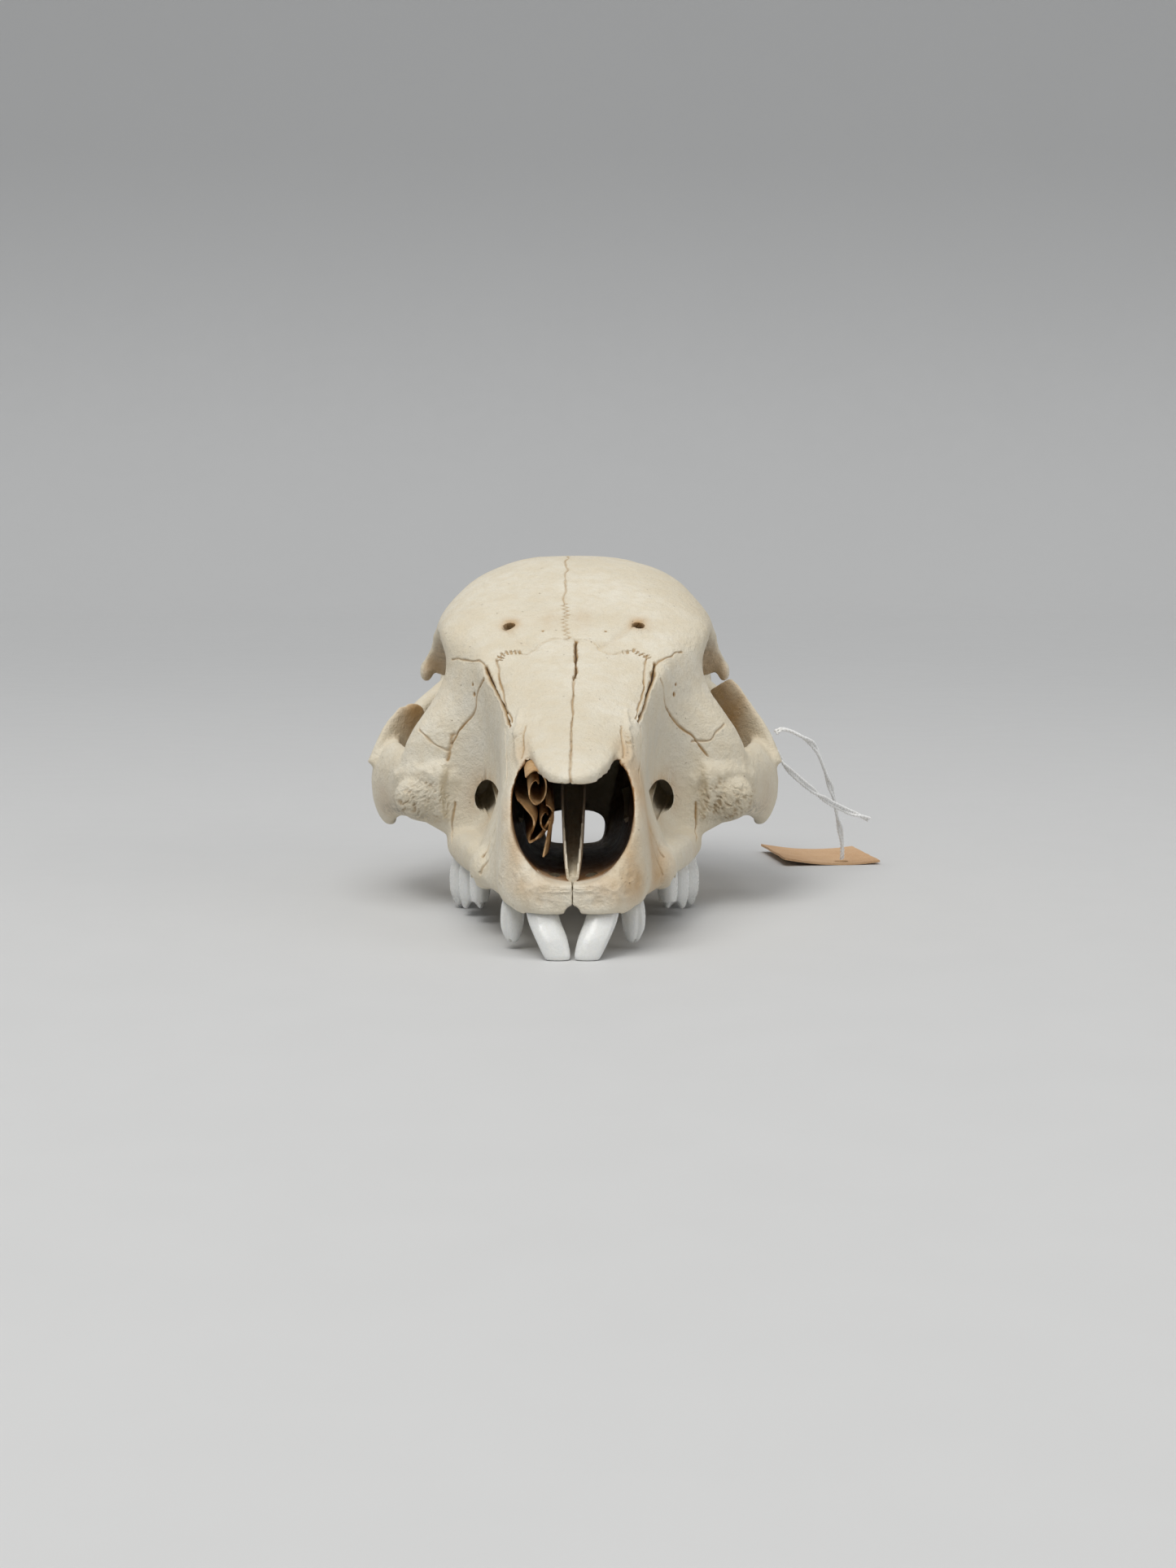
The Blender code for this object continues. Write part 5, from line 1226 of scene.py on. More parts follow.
@dataclass
class NoseBones:
    """The trough that stands in the middle of the nose, and the thin scrolls on the viewer's left."""

    # y, half width, bottom, floor inside, top of the trough's walls
    trough: Rows = (
        (8.5, 0.9, 11.6, 13.0, 13.6),
        (14, 1.3, 11.2, 13.6, 17.0),
        (24, 1.8, 11.0, 15.6, 22.0),
        (38, 2.1, 11.0, 20.0, 27.0),
        (54, 2.2, 11.0, 28.0, 31.0),
        (68, 2.2, 11.0, 33.0, 34.0),
    )
    wall: float = 0.55
    # Scrolls: first and last y, start radius, growth for each turn, turns, middle x and z in front and behind
    scrolls: Rows = ((13.0, 44.0, 0.7, 1.15, 1.25, (-6.2, 27.0), (-7.6, 32.0)),
                     (16.5, 40.0, 0.5, 0.9, 1.1, (-4.6, 21.6), (-5.6, 24.0)))
    # Folded plate: lines across it at each y, from the side wall to its free edge
    plate: Rows = ((15.0, ((-9.3, 25.0), (-6.6, 21.6), (-7.4, 18.0), (-5.4, 19.4), (-3.9, 21.6),
                           (-5.0, 15.6))),
                   (19.0, ((-9.8, 25.6), (-6.2, 22.4), (-7.8, 18.2), (-5.2, 18.6), (-3.4, 22.6),
                           (-4.4, 15.8))),
                   (27.0, ((-10.2, 26.6), (-6.6, 23.4), (-8.2, 19.0), (-5.6, 18.8), (-3.6, 24.2),
                           (-4.0, 17.0))),
                   (38.0, ((-10.6, 28.0), (-7.6, 25.4), (-8.8, 21.0), (-6.4, 20.0), (-4.0, 26.0),
                           (-4.6, 19.0))))
    # Thin shelf on the side wall that catches the light behind each cheek hole
    shelf: Rows = ((40.0, 14.0, 19.6, 9.2, 18.6), (52.0, 14.6, 21.6, 9.4, 20.4),
                   (60.0, 15.6, 23.4, 9.0, 22.0))

    def trough_surface(self) -> Surface:
        """A U across the skull: x = half |s|^0.6 and z from the floor inside up to the top, along y."""
        y, half, _, floor, top = smooth_rows(self.trough, 8).T[:, :, None]
        s = np.linspace(-1, 1, 41)[None, :]
        rise = np.clip((np.abs(s) - 0.25) / 0.75, 0, 1)
        x = np.sign(s) * half * np.clip(np.abs(s) / 0.4, 0, 1) ** 0.6 * (0.82 + 0.18 * rise)
        z = floor - 0.5 + (top - floor + 0.5) * rise**1.3
        ragged = 0.5 * np.sin(y * 1.9 + 2 * s) * rise**4
        grid = np.stack([x, y + 0 * s, z + ragged], axis=-1)
        return shell(grid, self.wall * (1 - 0.35 * np.abs(s)) + 0 * y)

    def keel_surface(self) -> Surface:
        """The solid foot under the trough, from the nose floor up to the floor inside it."""
        y, half, bottom, floor, _ = smooth_rows(self.trough, 6).T
        height = (floor - bottom) / 2
        centre = np.column_stack([0 * y, y, bottom + height - 0.2])
        return lofted(ovals(centre, (1, 0, 0), (0, 0, 1), half * 0.72, height + 0.1, 20, 2.6))

    def scroll_surface(self, size: tuple) -> Surface:
        """A spiral r = a + b t across the nose, carried along y, with a ragged front edge."""
        first, last, start, growth, turns, front, back = size
        t = np.linspace(0, 1, 70)[None, :]
        share = np.linspace(0, 1, 40)[:, None]
        turn = math.tau * turns * t + 0.9
        radius = start + growth * turns * t
        x = front[0] + (back[0] - front[0]) * share + radius * np.cos(turn) * (1 + 0.25 * share)
        z = front[1] + (back[1] - front[1]) * share + 1.7 * radius * np.sin(turn) * (1 + 0.2 * share)
        y = first + (last - first) * share + (1 - share) * (1.6 * np.sin(turn * 1.3) + 0.5 * np.sin(turn * 5))
        grid = np.stack([x, y, z], axis=-1)
        return shell(grid, 0.34 - 0.12 * (1 - share) + 0 * t)

    def plate_surface(self) -> Surface:
        """The folded plate: a Catmull-Rom sheet through its lines, with a torn front edge."""
        rows = smooth_rows([[y, *np.ravel(line)] for y, line in self.plate], 8)
        grid = []
        for row in rows:
            line = smooth_rows(row[1:].reshape(-1, 2), 10)
            grid.append(np.column_stack([line[:, 0], np.full(len(line), row[0]), line[:, 1]]))
        grid = np.array(grid)
        t = np.linspace(0, 1, grid.shape[1])
        front = np.exp(-(np.arange(len(grid)) / 4.0))[:, None]
        grid[..., 1] += front * (1.3 * np.sin(t * 23) + 0.8 * np.sin(t * 41 + 1))
        return shell(grid, 0.3)

    def shelf_surface(self, side: int) -> Surface:
        """A flat strip on the side wall, from its outer line to its inner one."""
        y, out_x, out_z, in_x, in_z = smooth_rows(self.shelf, 5).T[:, :, None]
        t = np.linspace(0, 1, 9)[None, :]
        grid = np.stack([side * (out_x + (in_x - out_x) * t), y + 0 * t,
                         out_z + (in_z - out_z) * t + 0.5 * np.sin(math.pi * t)], axis=-1)
        return shell(grid, 0.7)

    def build(self, bone: bpy.types.Material, thin: bpy.types.Material) -> None:
        """Makes the trough of bone and the scrolls of thin, browner bone."""
        trough = add_piece("nose_trough", joined([self.trough_surface(), self.keel_surface()]), bone)
        scrolls = [self.scroll_surface(size) for size in self.scrolls] + [self.plate_surface()]
        pieces = [trough, add_piece("nose_scrolls", joined(scrolls), thin),
                  add_piece("nose_shelves", joined([self.shelf_surface(side) for side, _ in SIDES]), bone)]
        for piece in pieces:
            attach(piece, "root")


# Teeth

@dataclass
class Teeth:
    """The ten milk teeth that are left."""

    # x, y, z down the middle from the root to the worn edge, half width, half depth
    front: dict = field(default_factory=lambda: {
        "incisor_1": ((7.6, 11.5, 13.0, 1.9, 1.9), (6.5, 8.2, 9.6, 2.3, 2.1), (5.2, 5.7, 7.4, 2.6, 2.0),
                      (4.55, 4.5, 5.6, 2.7, 1.9), (3.55, 2.8, 3.4, 2.65, 1.65), (2.65, 1.4, 1.0, 2.3, 1.25),
                      (2.4, 1.0, 0.0, 1.9, 0.95)),
        "incisor_2": ((9.4, 17.5, 12.4, 1.3, 1.5), (9.8, 15.4, 9.0, 1.9, 1.8), (10.2, 13.6, 6.6, 2.05, 1.8),
                      (10.3, 12.4, 3.8, 1.9, 1.5), (10.2, 11.9, 1.9, 1.2, 1.0), (10.2, 11.8, 1.2, 0.6, 0.6)),
    })
    # Middle x, y, tip height, half width, half length, cusps along and across
    cheek: dict = field(default_factory=lambda: {
        "premolar_2": (17.0, 41.0, 2.6, 1.9, 4.0, 1, 1),
        "premolar_3": (18.6, 50.0, 1.4, 2.8, 4.4, 2, 2),
        "premolar_4": (20.0, 60.4, 0.5, 3.7, 5.4, 2, 2),
    })
    clefts: dict = field(default_factory=lambda: {"incisor_1": 0.0, "incisor_2": 0.24})
    gap: float = 0.35
    crown: float = 7.8
    root: float = 3.4

    def front_tooth(self, rows: Rows, side: int, grow: float = 0.0, cleft: float = 0.0) -> Surface:
        """Level rounded ovals down the tooth's line, faintly ribbed, soft at the edge, furrowed if asked."""
        rows = smooth_rows(rows, 8)
        x, y, z, wide, deep = rows.T
        run = np.linspace(0, 1, len(rows))
        edge = np.sqrt(np.clip(1 - ((run - 0.965) / 0.035).clip(0) ** 2, 0.25, 1)) if not grow else 1.0
        rings = ovals(np.column_stack([side * x, y, z + grow * (run < 0.01)]), (1, 0, 0), (0, 1, 0),
                      wide * edge + grow, deep * edge + grow, 48, 2.35)
        if not grow:
            turn = np.arange(48) * (math.tau / 48)
            middle = rings.mean(axis=1, keepdims=True)
            ribs = 1 + 0.012 * np.cos(turn * 7) * np.sin(math.pi * run)[:, None]
            if cleft:
                off = (turn - 1.5 * math.pi - side * 0.5 + math.pi) % math.tau - math.pi
                furrow = np.exp(-(off / 0.3) ** 2)[None] * ramp(run, 0.2, 0.6)[:, None]
                ribs = ribs * (1 - cleft * furrow)
                rings[..., 2] += 0.7 * furrow * ramp(run, 0.75, 1.0)[:, None]
            rings = middle + (rings - middle) * ribs[..., None]
        return lofted(rings)

    def cheek_tooth(self, size: tuple, side: int, grow: float = 0.0) -> Surface:
        """A cheek tooth: lobed outlines down the crown, closed underneath by rings that rise between cusps.

        The outline is a rounded block whose sides pull in between the lobes by cos(2 pi lobes v). A cusp's
        height falls off from its middle, and the biting face is at tip + depth (1 - cusp).
        """
        x, y, tip, half_x, half_y, along, across = size
        neck = tip + self.crown
        levels = np.array([(neck + self.root + grow, 0.74), (neck + 1.2, 0.82), (neck, 0.87),
                           (neck - 1.0, 0.97),
                           (neck - 2.6, 1.0), (tip + 3.4, 0.99), (tip + 2.2, 0.93), (tip + 1.5, 0.85)])
        fine = smooth_rows(levels, 4)
        z, share = fine.T
        count = 96
        base = ovals((0, 0, 0), (1, 0, 0), (0, 1, 0), half_x, half_y, count, 2.8)[0]
        v = base[:, 1] / half_y
        lobes = along + 1 if along == 1 else along
        pinch = 0.2 * (1 - np.cos(math.tau * (v * lobes / 2 + (0.5 if lobes % 2 == 0 else 0)))) / 2
        if grow:
            rings = base[None] * share[:, None, None] + grow * unit(base)[None]
            rings[..., 2] = z[:, None]
            return lofted(rings + (side * x, y, 0))
        depth = ramp(neck - z, -0.5, 3.0)[:, None]
        rings = base[None] * share[:, None, None]
        rings[..., 0] *= 1 - pinch[None] * depth
        rings[..., 2] = z[:, None]
        inner = np.linspace(1, 0, 18)[1:-1]
        bite = rings[-1][None] * inner[:, None, None]
        u, w = bite[..., 0] / half_x, bite[..., 1] / half_y
        cusp = np.zeros_like(u)
        places = [(a, b) for a in ((0.0,) if across == 1 else (-0.48, 0.48))
                  for b in ((0.0,) if along == 1 else (-0.48, 0.48))]
        if along == 1:
            places += [(0.0, -0.62), (0.0, 0.62)]
        for n, (a, b) in enumerate(places):
            away = np.hypot((u - a) / 0.42, (w - b) / (0.34 if along > 1 else 0.4))
            cusp = np.maximum(cusp, (1.0 if n < 4 - 3 * (along == 1) else 0.45) * np.exp(-away**2))
        bite[..., 2] = tip + 2.0 * (1 - cusp) * np.clip(1.2 - 0.2 * inner[:, None], 0, 1)
        return lofted(np.concatenate([rings, bite]) + (side * x, y, 0))

    def sockets(self) -> list[Surface]:
        """The teeth grown by the gap, to cut the bone with."""
        made = []
        for side, _ in SIDES:
            made += [self.front_tooth(rows, side, self.gap) for rows in self.front.values()]
            made += [self.cheek_tooth(size, side, self.gap) for size in self.cheek.values()]
        return made

    def build(self, finish: bpy.types.Material) -> None:
        """Makes the ten teeth, each in place of its solid."""
        for side, word in SIDES:
            shapes = {name: self.front_tooth(rows, side, 0.0, self.clefts[name]) for name,
                      rows in self.front.items()}
            shapes |= {name: self.cheek_tooth(size, side) for name, size in self.cheek.items()}
            for name, surface in shapes.items():
                piece = add_piece(f"{name}_{word}_crown", surface, finish, 75.0)
                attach(piece, "root")
                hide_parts(f"{name}_{word}")


# Thread and card

@dataclass
class Threads:
    """White cotton: a doubled thread tied round the cheek bone, its free ends, and the run to the card."""

    tag_route: Rows = (
        (40.9, 97.3, 30.1), (42.6, 98.0, 30.7), (45.6, 100.0, 29.5), (49.1, 103.0, 27.1),
                       (51.3, 106.0, 23.0),
        (53.0, 109.0, 18.9), (54.3, 111.5, 15.5), (55.3, 114.0, 11.5), (56.4, 117.0, 7.8),
                       (57.1, 119.2, 4.2),
        (57.2, 120.1, 1.05),
    )
    ends_route: Rows = (
        (40.4, 98.0, 26.9), (41.6, 99.0, 25.2), (43.7, 100.5, 22.4), (46.8, 103.0, 19.5),
                        (49.6, 105.5, 17.2),
        (53.1, 109.2, 14.6), (55.4, 110.9, 13.3), (58.2, 112.4, 11.9), (60.4, 113.5, 11.1),
        (62.2, 114.5, 10.2),
    )
    tube: float = 0.7
    lay: float = 1.7
    loop_at: float = 97.0
    loop_clearance: float = 0.55
    knot: tuple = (39.0, 97.0, 28.6)

    def route(self, rows: Rows, step: float) -> Array:
        """Points step apart on the smooth route."""
        return evenly(smooth_rows(rows, 24), step)

    def strand(self, path: Array, thick: float, seed: int, closed: bool = False) -> Surface:
        """One two-ply strand: its outline is that of two touching circles, turned by the lay along it.

        With circles of radius a and centres c = 0.5 a from the middle, r = c |cos t| + sqrt(a2 - c2 sin2 t).
        """
        a = thick / 3.0
        c = 0.5 * a
        run = np.r_[0, np.cumsum(np.linalg.norm(np.diff(path, axis=0), axis=1))]
        turn = np.arange(20) * (math.tau / 20)
        t = turn[None] - (math.tau * run / self.lay)[:, None] + seed
        radii = c * np.abs(np.cos(t)) + np.sqrt(a * a - (c * np.sin(t)) ** 2)
        fuzz = wavy(np.column_stack([np.repeat(run, 20), np.tile(turn * 0.5, len(run)),
                                     np.full(len(run) * 20, seed)]),
                    0.5, seed).reshape(radii.shape)
        return tube(path, radii * (1 + 0.09 * fuzz), closed=closed)

    def pair(self, path: Array, seed: int, spread: Array | float = 1.0,
             twist: float = 26.0) -> list[Surface]:
        """Two strands side by side, which wind slowly round the route.

        Args:
            path: the route.
            seed: which noise.
            spread: how far apart they are along the route, in strand widths.
            twist: millimetres for one turn round each other.

        Returns:
            The two strands.
        """
        thick = self.tube
        run = np.r_[0, np.cumsum(np.linalg.norm(np.diff(path, axis=0), axis=1))]
        forward = unit(np.gradient(path, axis=0))
        side = unit(np.cross(forward, (0.3, -0.9, 0.3)))
        up = np.cross(side, forward)
        angle = run * (math.tau / twist) + 0.6 * np.sin(run * 0.5 + seed)
        offset = np.cos(angle)[:, None] * side + np.sin(angle)[:, None] * up
        half = (thick * 0.5 * np.broadcast_to(spread, run.shape))[:, None]
        return [self.strand(path + offset * half * sign, thick, seed + n) for n, sign in enumerate((1, -1))]

    def fibres(self, path: Array, count: int, seed: int) -> list[Surface]:
        """Short stray fibres that stand off a thread: bent three-sided tapering tubes."""
        made = []
        for n in range(count):
            pick = lattice(np.array([[seed, n, k] for k in range(8)]), 5)
            i = int(pick[0] * (len(path) - 3)) + 1
            way = unit(np.array([pick[1], pick[2], pick[3]]) - 0.5)
            bend = unit(np.array([pick[4], pick[5], pick[6]]) - 0.5)
            t = np.linspace(0, 1, 7)[:, None]
            long = 0.7 + 1.1 * pick[7]
            line = path[i] + way * (0.2 + long * t) + bend * long * 0.5 * t**2
            made.append(tube(line, np.repeat(0.022 * (1 - 0.7 * t), 3, axis=1)))
        return made

    def doubled(self, name: str, rows: Rows, seed: int, finish: bpy.types.Material) -> bpy.types.Object:
        """Makes a doubled thread with its stray fibres."""
        path = self.route(rows, 0.13)
        piece = add_piece(name, joined(self.pair(path, seed) + self.fibres(path, 34, seed)),
                          finish)
        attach(piece, "root")
        return piece

    def loop_path(self, cranium: Cranium, shift: float, grow: float) -> Array:
        """The cheek bone's own outline at the loop, grown by the clearance and moved along the bone."""
        rows = smooth_rows(cranium.arch, 8)
        at = int(np.argmin(np.abs(rows[:, 1] - self.loop_at)))
        ring = cranium.arch_rings(1, self.loop_clearance + grow, 72)[at]
        forward = unit(np.gradient(rows[:, :3], axis=0)[at])
        return evenly(np.vstack([ring, ring[:1]]), 0.2)[:-1] + forward * shift

    def knot_path(self) -> Array:
        """A trefoil line, (2 + cos 3t) (cos 2t, sin 2t) and sin 3t, squeezed into the knot's place."""
        t = np.arange(150) * (math.tau / 150)
        x = np.sin(3 * t) * 0.55
        y = (2 + np.cos(3 * t)) * np.cos(2 * t) * 0.42
        z = (2 + np.cos(3 * t)) * np.sin(2 * t) * 0.42
        return np.column_stack([x, y, z]) + self.knot + (0.35, 0, 0)

    def build(self, cranium: Cranium, tag: bpy.types.Object, finish: bpy.types.Material) -> None:
        """Makes the loop with its knot, and the two doubled threads that leave it."""
        loops = [self.strand(self.loop_path(cranium, shift, 0.42), self.tube, 3, closed=True)
                 for shift in (-0.4, 0.4)]
        knot = self.strand(self.knot_path(), self.tube * 1.15, 8, closed=True)
        band = add_piece("thread_loop", joined([*loops, knot]), finish)
        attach(band, "root")
        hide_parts("string_loop")
        for name, node, rows, far, stiff, seed, rider in (
                ("tag_thread", "tag_string", self.tag_route, "fitting", "limp", 1, [tag]),
                ("thread_ends", "string_ends", self.ends_route, "bare", "medium", 4, [])):
            piece = self.doubled(name, rows, seed, finish)
            path = placed(self.route(rows, 1.0))
            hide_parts(node)


@dataclass
class Card:
    """The bare card tag: a thin sheet that curls up at its sides, with a hole for the thread."""

    centre: tuple = (53.2, 129.0)
    size: tuple = (20.8, 24.0)
    turn: float = math.radians(8.0)
    thickness: float = 0.5
    low_line: float = 2.6
    curl: float = 0.008
    hole: tuple = (2.6, -9.2, 1.5)

    def surface(self) -> Surface:
        """Lines that run from the hole's edge out to the card's edge, at height curl (u - low line)2.

        In each direction the line's outer end is where the ray from the hole's middle meets the rectangle.
        """
        wide, long = self.size
        u0, v0, radius = self.hole
        corners = [(sx * wide / 2 - u0, sy * long / 2 - v0) for sx,
                   sy in ((1, 1), (-1, 1), (-1, -1), (1, -1))]
        turns = np.sort(np.r_[np.arange(200) * (math.tau / 200),
                              [math.atan2(b, a) % math.tau for a, b in corners]])
        c, s = np.cos(turns), np.sin(turns)
        with np.errstate(divide="ignore"):
            out = np.minimum(np.where(c > 0, wide / 2 - u0, wide / 2 + u0) / np.abs(c),
                             np.where(s > 0, long / 2 - v0, long / 2 + v0) / np.abs(s))
        share = np.linspace(0, 1, 34)[:, None] ** 1.3
        reach = radius * (1 - share) + out[None] * share
        u, v = u0 + reach * c, v0 + reach * s
        flat = np.stack([u, v, 0 * u], axis=-1)
        wave = 0.1 * wavy(flat.reshape(-1, 3), 6.0, 12, 2).reshape(u.shape)
        worn = 0.14 * wavy(flat.reshape(-1, 3) * (1, 1, 0), 2.2, 8).reshape(u.shape) * share**12
        rise = self.curl * (u - self.low_line) ** 2 + self.thickness / 2 + np.abs(wave) * ramp(np.abs(u), 1,
                                                                                               9)
        a, b = math.cos(self.turn), math.sin(self.turn)
        u, v = u * (1 + worn / 12), v * (1 + worn / 12)
        grid = np.stack([self.centre[0] + u * a - v * b, self.centre[1] + u * b + v * a, rise], axis=-1)
        return shell(grid, self.thickness - 0.06, around=True)

    def build(self, finish: bpy.types.Material) -> bpy.types.Object:
        """Makes the card in place of its solid."""
        piece = add_piece("card_tag", self.surface(), finish, 40.0)
        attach(piece, "root")
        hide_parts("paper_tag")
        return piece


# Finishes

class Tree:
    """Short hand for adding nodes to a material or a group, and linking them."""

    def __init__(self, tree: bpy.types.NodeTree) -> None:
        """Keeps the tree that nodes are added to."""
        self.tree = tree

    def add(self, kind: str, inputs: dict | None = None, **settings: object) -> bpy.types.Node:
        """Adds a node.

        Args:
            kind: its type, without the word ShaderNode.
            inputs: a value, or a socket to link, for each input by name or number.
            settings: its other properties.

        Returns:
            The node.
        """
        node = self.tree.nodes.new("ShaderNode" + kind)
        for name, value in settings.items():
            setattr(node, name, value)
        for name, value in (inputs or {}).items():
            socket = node.inputs[name]
            if isinstance(value, bpy.types.NodeSocket):
                self.tree.links.new(value, socket)
            else:
                socket.default_value = (*value, 1.0) if socket.type == "RGBA" and len(value) == 3 else value
        return node

    def maths(self, operation: str, *values: object, clamp: bool = False) -> bpy.types.NodeSocket:
        """One step of arithmetic."""
        node = self.add("Math", dict(enumerate(values)), operation=operation, use_clamp=clamp)
        return node.outputs[0]

    def mix(self, share: object, low: object, high: object, blend: str = "MIX") -> bpy.types.NodeSocket:
        """A colour between two, or one laid on the other by a blend."""
        node = self.add("Mix", {0: share, 6: low, 7: high}, data_type="RGBA", blend_type=blend)
        return node.outputs[2]

    def span(self, value: object, low: float, high: float, to_low: float = 0.0,
             to_high: float = 1.0) -> bpy.types.NodeSocket:
        """A value carried from one range to another and held inside it."""
        node = self.add("MapRange", {0: value, 1: low, 2: high, 3: to_low, 4: to_high},
                        interpolation_type="SMOOTHSTEP")
        return node.outputs[0]

    def noise(self, vector: object, scale: object, detail: float = 3.0,
              rough: float = 0.5) -> bpy.types.NodeSocket:
        """Noise from 0 to 1."""
        return self.add("TexNoise", {"Vector": vector, "Scale": scale, "Detail": detail,
                                     "Roughness": rough}).outputs[0]

    def group(self, made: bpy.types.NodeTree, inputs: dict) -> bpy.types.Node:
        """Places a shared effect with its own values."""
        node = self.tree.nodes.new("ShaderNodeGroup")
        node.node_tree = made
        for name, value in inputs.items():
            if isinstance(value, bpy.types.NodeSocket):
                self.tree.links.new(value, node.inputs[name])
            else:
                node.inputs[name].default_value = value
        return node


def new_group(name: str, inputs: dict[str, str], outputs: dict[str, str]) -> tuple[Tree, dict, dict]:
    """An empty shared effect with named sockets.

    Args:
        name: the group's name.
        inputs: kind of socket by name, Float, Vector or Color.
        outputs: the same for what it puts out.

    Returns:
        Its tree, its inputs' sockets by name, and its outputs' sockets by name.
    """
    group = bpy.data.node_groups.new(name, "ShaderNodeTree")
    for way, sockets in (("INPUT", inputs), ("OUTPUT", outputs)):
        for label, kind in sockets.items():
            group.interface.new_socket(label, in_out=way, socket_type="NodeSocket" + kind)
    inside = group.nodes.new("NodeGroupInput")
    outside = group.nodes.new("NodeGroupOutput")
    return (Tree(group), {label: inside.outputs[label] for label in inputs},
            {label: outside.inputs[label] for label in outputs})


class Effects:
    """The shared effects, each built once."""

    def __init__(self) -> None:
        """Builds them."""
        self.mottle = self.build_mottle()
        self.pores = self.build_pores()
        self.grain = self.build_grain()

    @staticmethod
    def build_mottle() -> bpy.types.NodeTree:
        """Cloudy variation in a broad and a fine size, both from 0 to 1."""
        tree, given, out = new_group("cloudy_mottle", {"Vector": "Vector", "Scale": "Float"},
                                     {"Broad": "Float", "Fine": "Float"})
        bent = tree.add("VectorMath", {0: given["Vector"], 1: (0.013, 0.007, 0.011)},
                        operation="ADD").outputs[0]
        broad = tree.noise(bent, given["Scale"], 4.0, 0.55)
        fine = tree.noise(given["Vector"], tree.maths("MULTIPLY", given["Scale"], 7.3), 4.0, 0.6)
        tree.tree.links.new(tree.span(broad, 0.32, 0.68), out["Broad"])
        tree.tree.links.new(tree.span(fine, 0.3, 0.7), out["Fine"])
        return tree.tree

    @staticmethod
    def build_pores() -> bpy.types.NodeTree:
        """Small pits: 1 in the middle of some of the cells of a Voronoi pattern, 0 between them."""
        tree, given, out = new_group("small_pores", {"Vector": "Vector", "Scale": "Float", "Share": "Float"},
                                     {"Pit": "Float"})
        bend = tree.add("TexNoise", {"Vector": given["Vector"], "Scale": given["Scale"],
                                     "Detail": 1.0}).outputs[1]
        bend = tree.add("VectorMath", {0: bend, 3: 0.0006}, operation="SCALE").outputs[0]
        place = tree.add("VectorMath", {0: given["Vector"], 1: bend}, operation="ADD").outputs[0]
        cells = tree.add("TexVoronoi", {"Vector": place, "Scale": given["Scale"], "Randomness": 1.0})
        pick = tree.add("SeparateColor", {0: cells.outputs["Color"]}).outputs[0]
        chosen = tree.maths("LESS_THAN", pick, given["Share"])
        size = tree.maths("MULTIPLY_ADD", pick, 0.35, 0.1)
        near = tree.maths("SUBTRACT", 1.0, tree.maths("DIVIDE", cells.outputs["Distance"], size), clamp=True)
        tree.tree.links.new(tree.maths("MULTIPLY", near, chosen), out["Pit"])
        return tree.tree

    @staticmethod
    def build_grain() -> bpy.types.NodeTree:
        """Fibres: noise drawn out along one direction by a stretch for each axis."""
        tree, given, out = new_group("drawn_grain", {"Vector": "Vector", "Stretch": "Vector",
                                                     "Scale": "Float"},
                                     {"Grain": "Float"})
        drawn = tree.add("VectorMath", {0: given["Vector"], 1: given["Stretch"]},
                         operation="MULTIPLY").outputs[0]
        fine = tree.noise(drawn, given["Scale"], 5.0, 0.65)
        tree.tree.links.new(tree.span(fine, 0.3, 0.7), out["Grain"])
        return tree.tree


@dataclass(frozen=True)
class Finish:
    """A surface finish that becomes one material."""

    name: str
    roughness: float
    bump: float

    def start(self) -> tuple[Tree, bpy.types.Node, bpy.types.NodeSocket]:
        """A material with a plain shader, and its Object coordinates."""
        material = bpy.data.materials.new(self.name)
        material.use_nodes = True
        tree = Tree(material.node_tree)
        shader = material.node_tree.nodes["Principled BSDF"]
        shader.inputs["Roughness"].default_value = self.roughness
        return tree, shader, tree.add("TexCoord").outputs["Object"]

    def finish(self, tree: Tree, shader: bpy.types.Node, colour: bpy.types.NodeSocket,
               height: bpy.types.NodeSocket, rough: bpy.types.NodeSocket) -> bpy.types.Material:
        """Links colour, relief and roughness to the shader and returns the material."""
        bump = tree.add("Bump", {"Height": height, "Strength": self.bump, "Distance": 0.0004})
        for socket, name in ((colour, "Base Color"), (bump.outputs[0], "Normal"), (rough, "Roughness")):
            tree.tree.links.new(socket, shader.inputs[name])
        return bpy.data.materials[self.name]


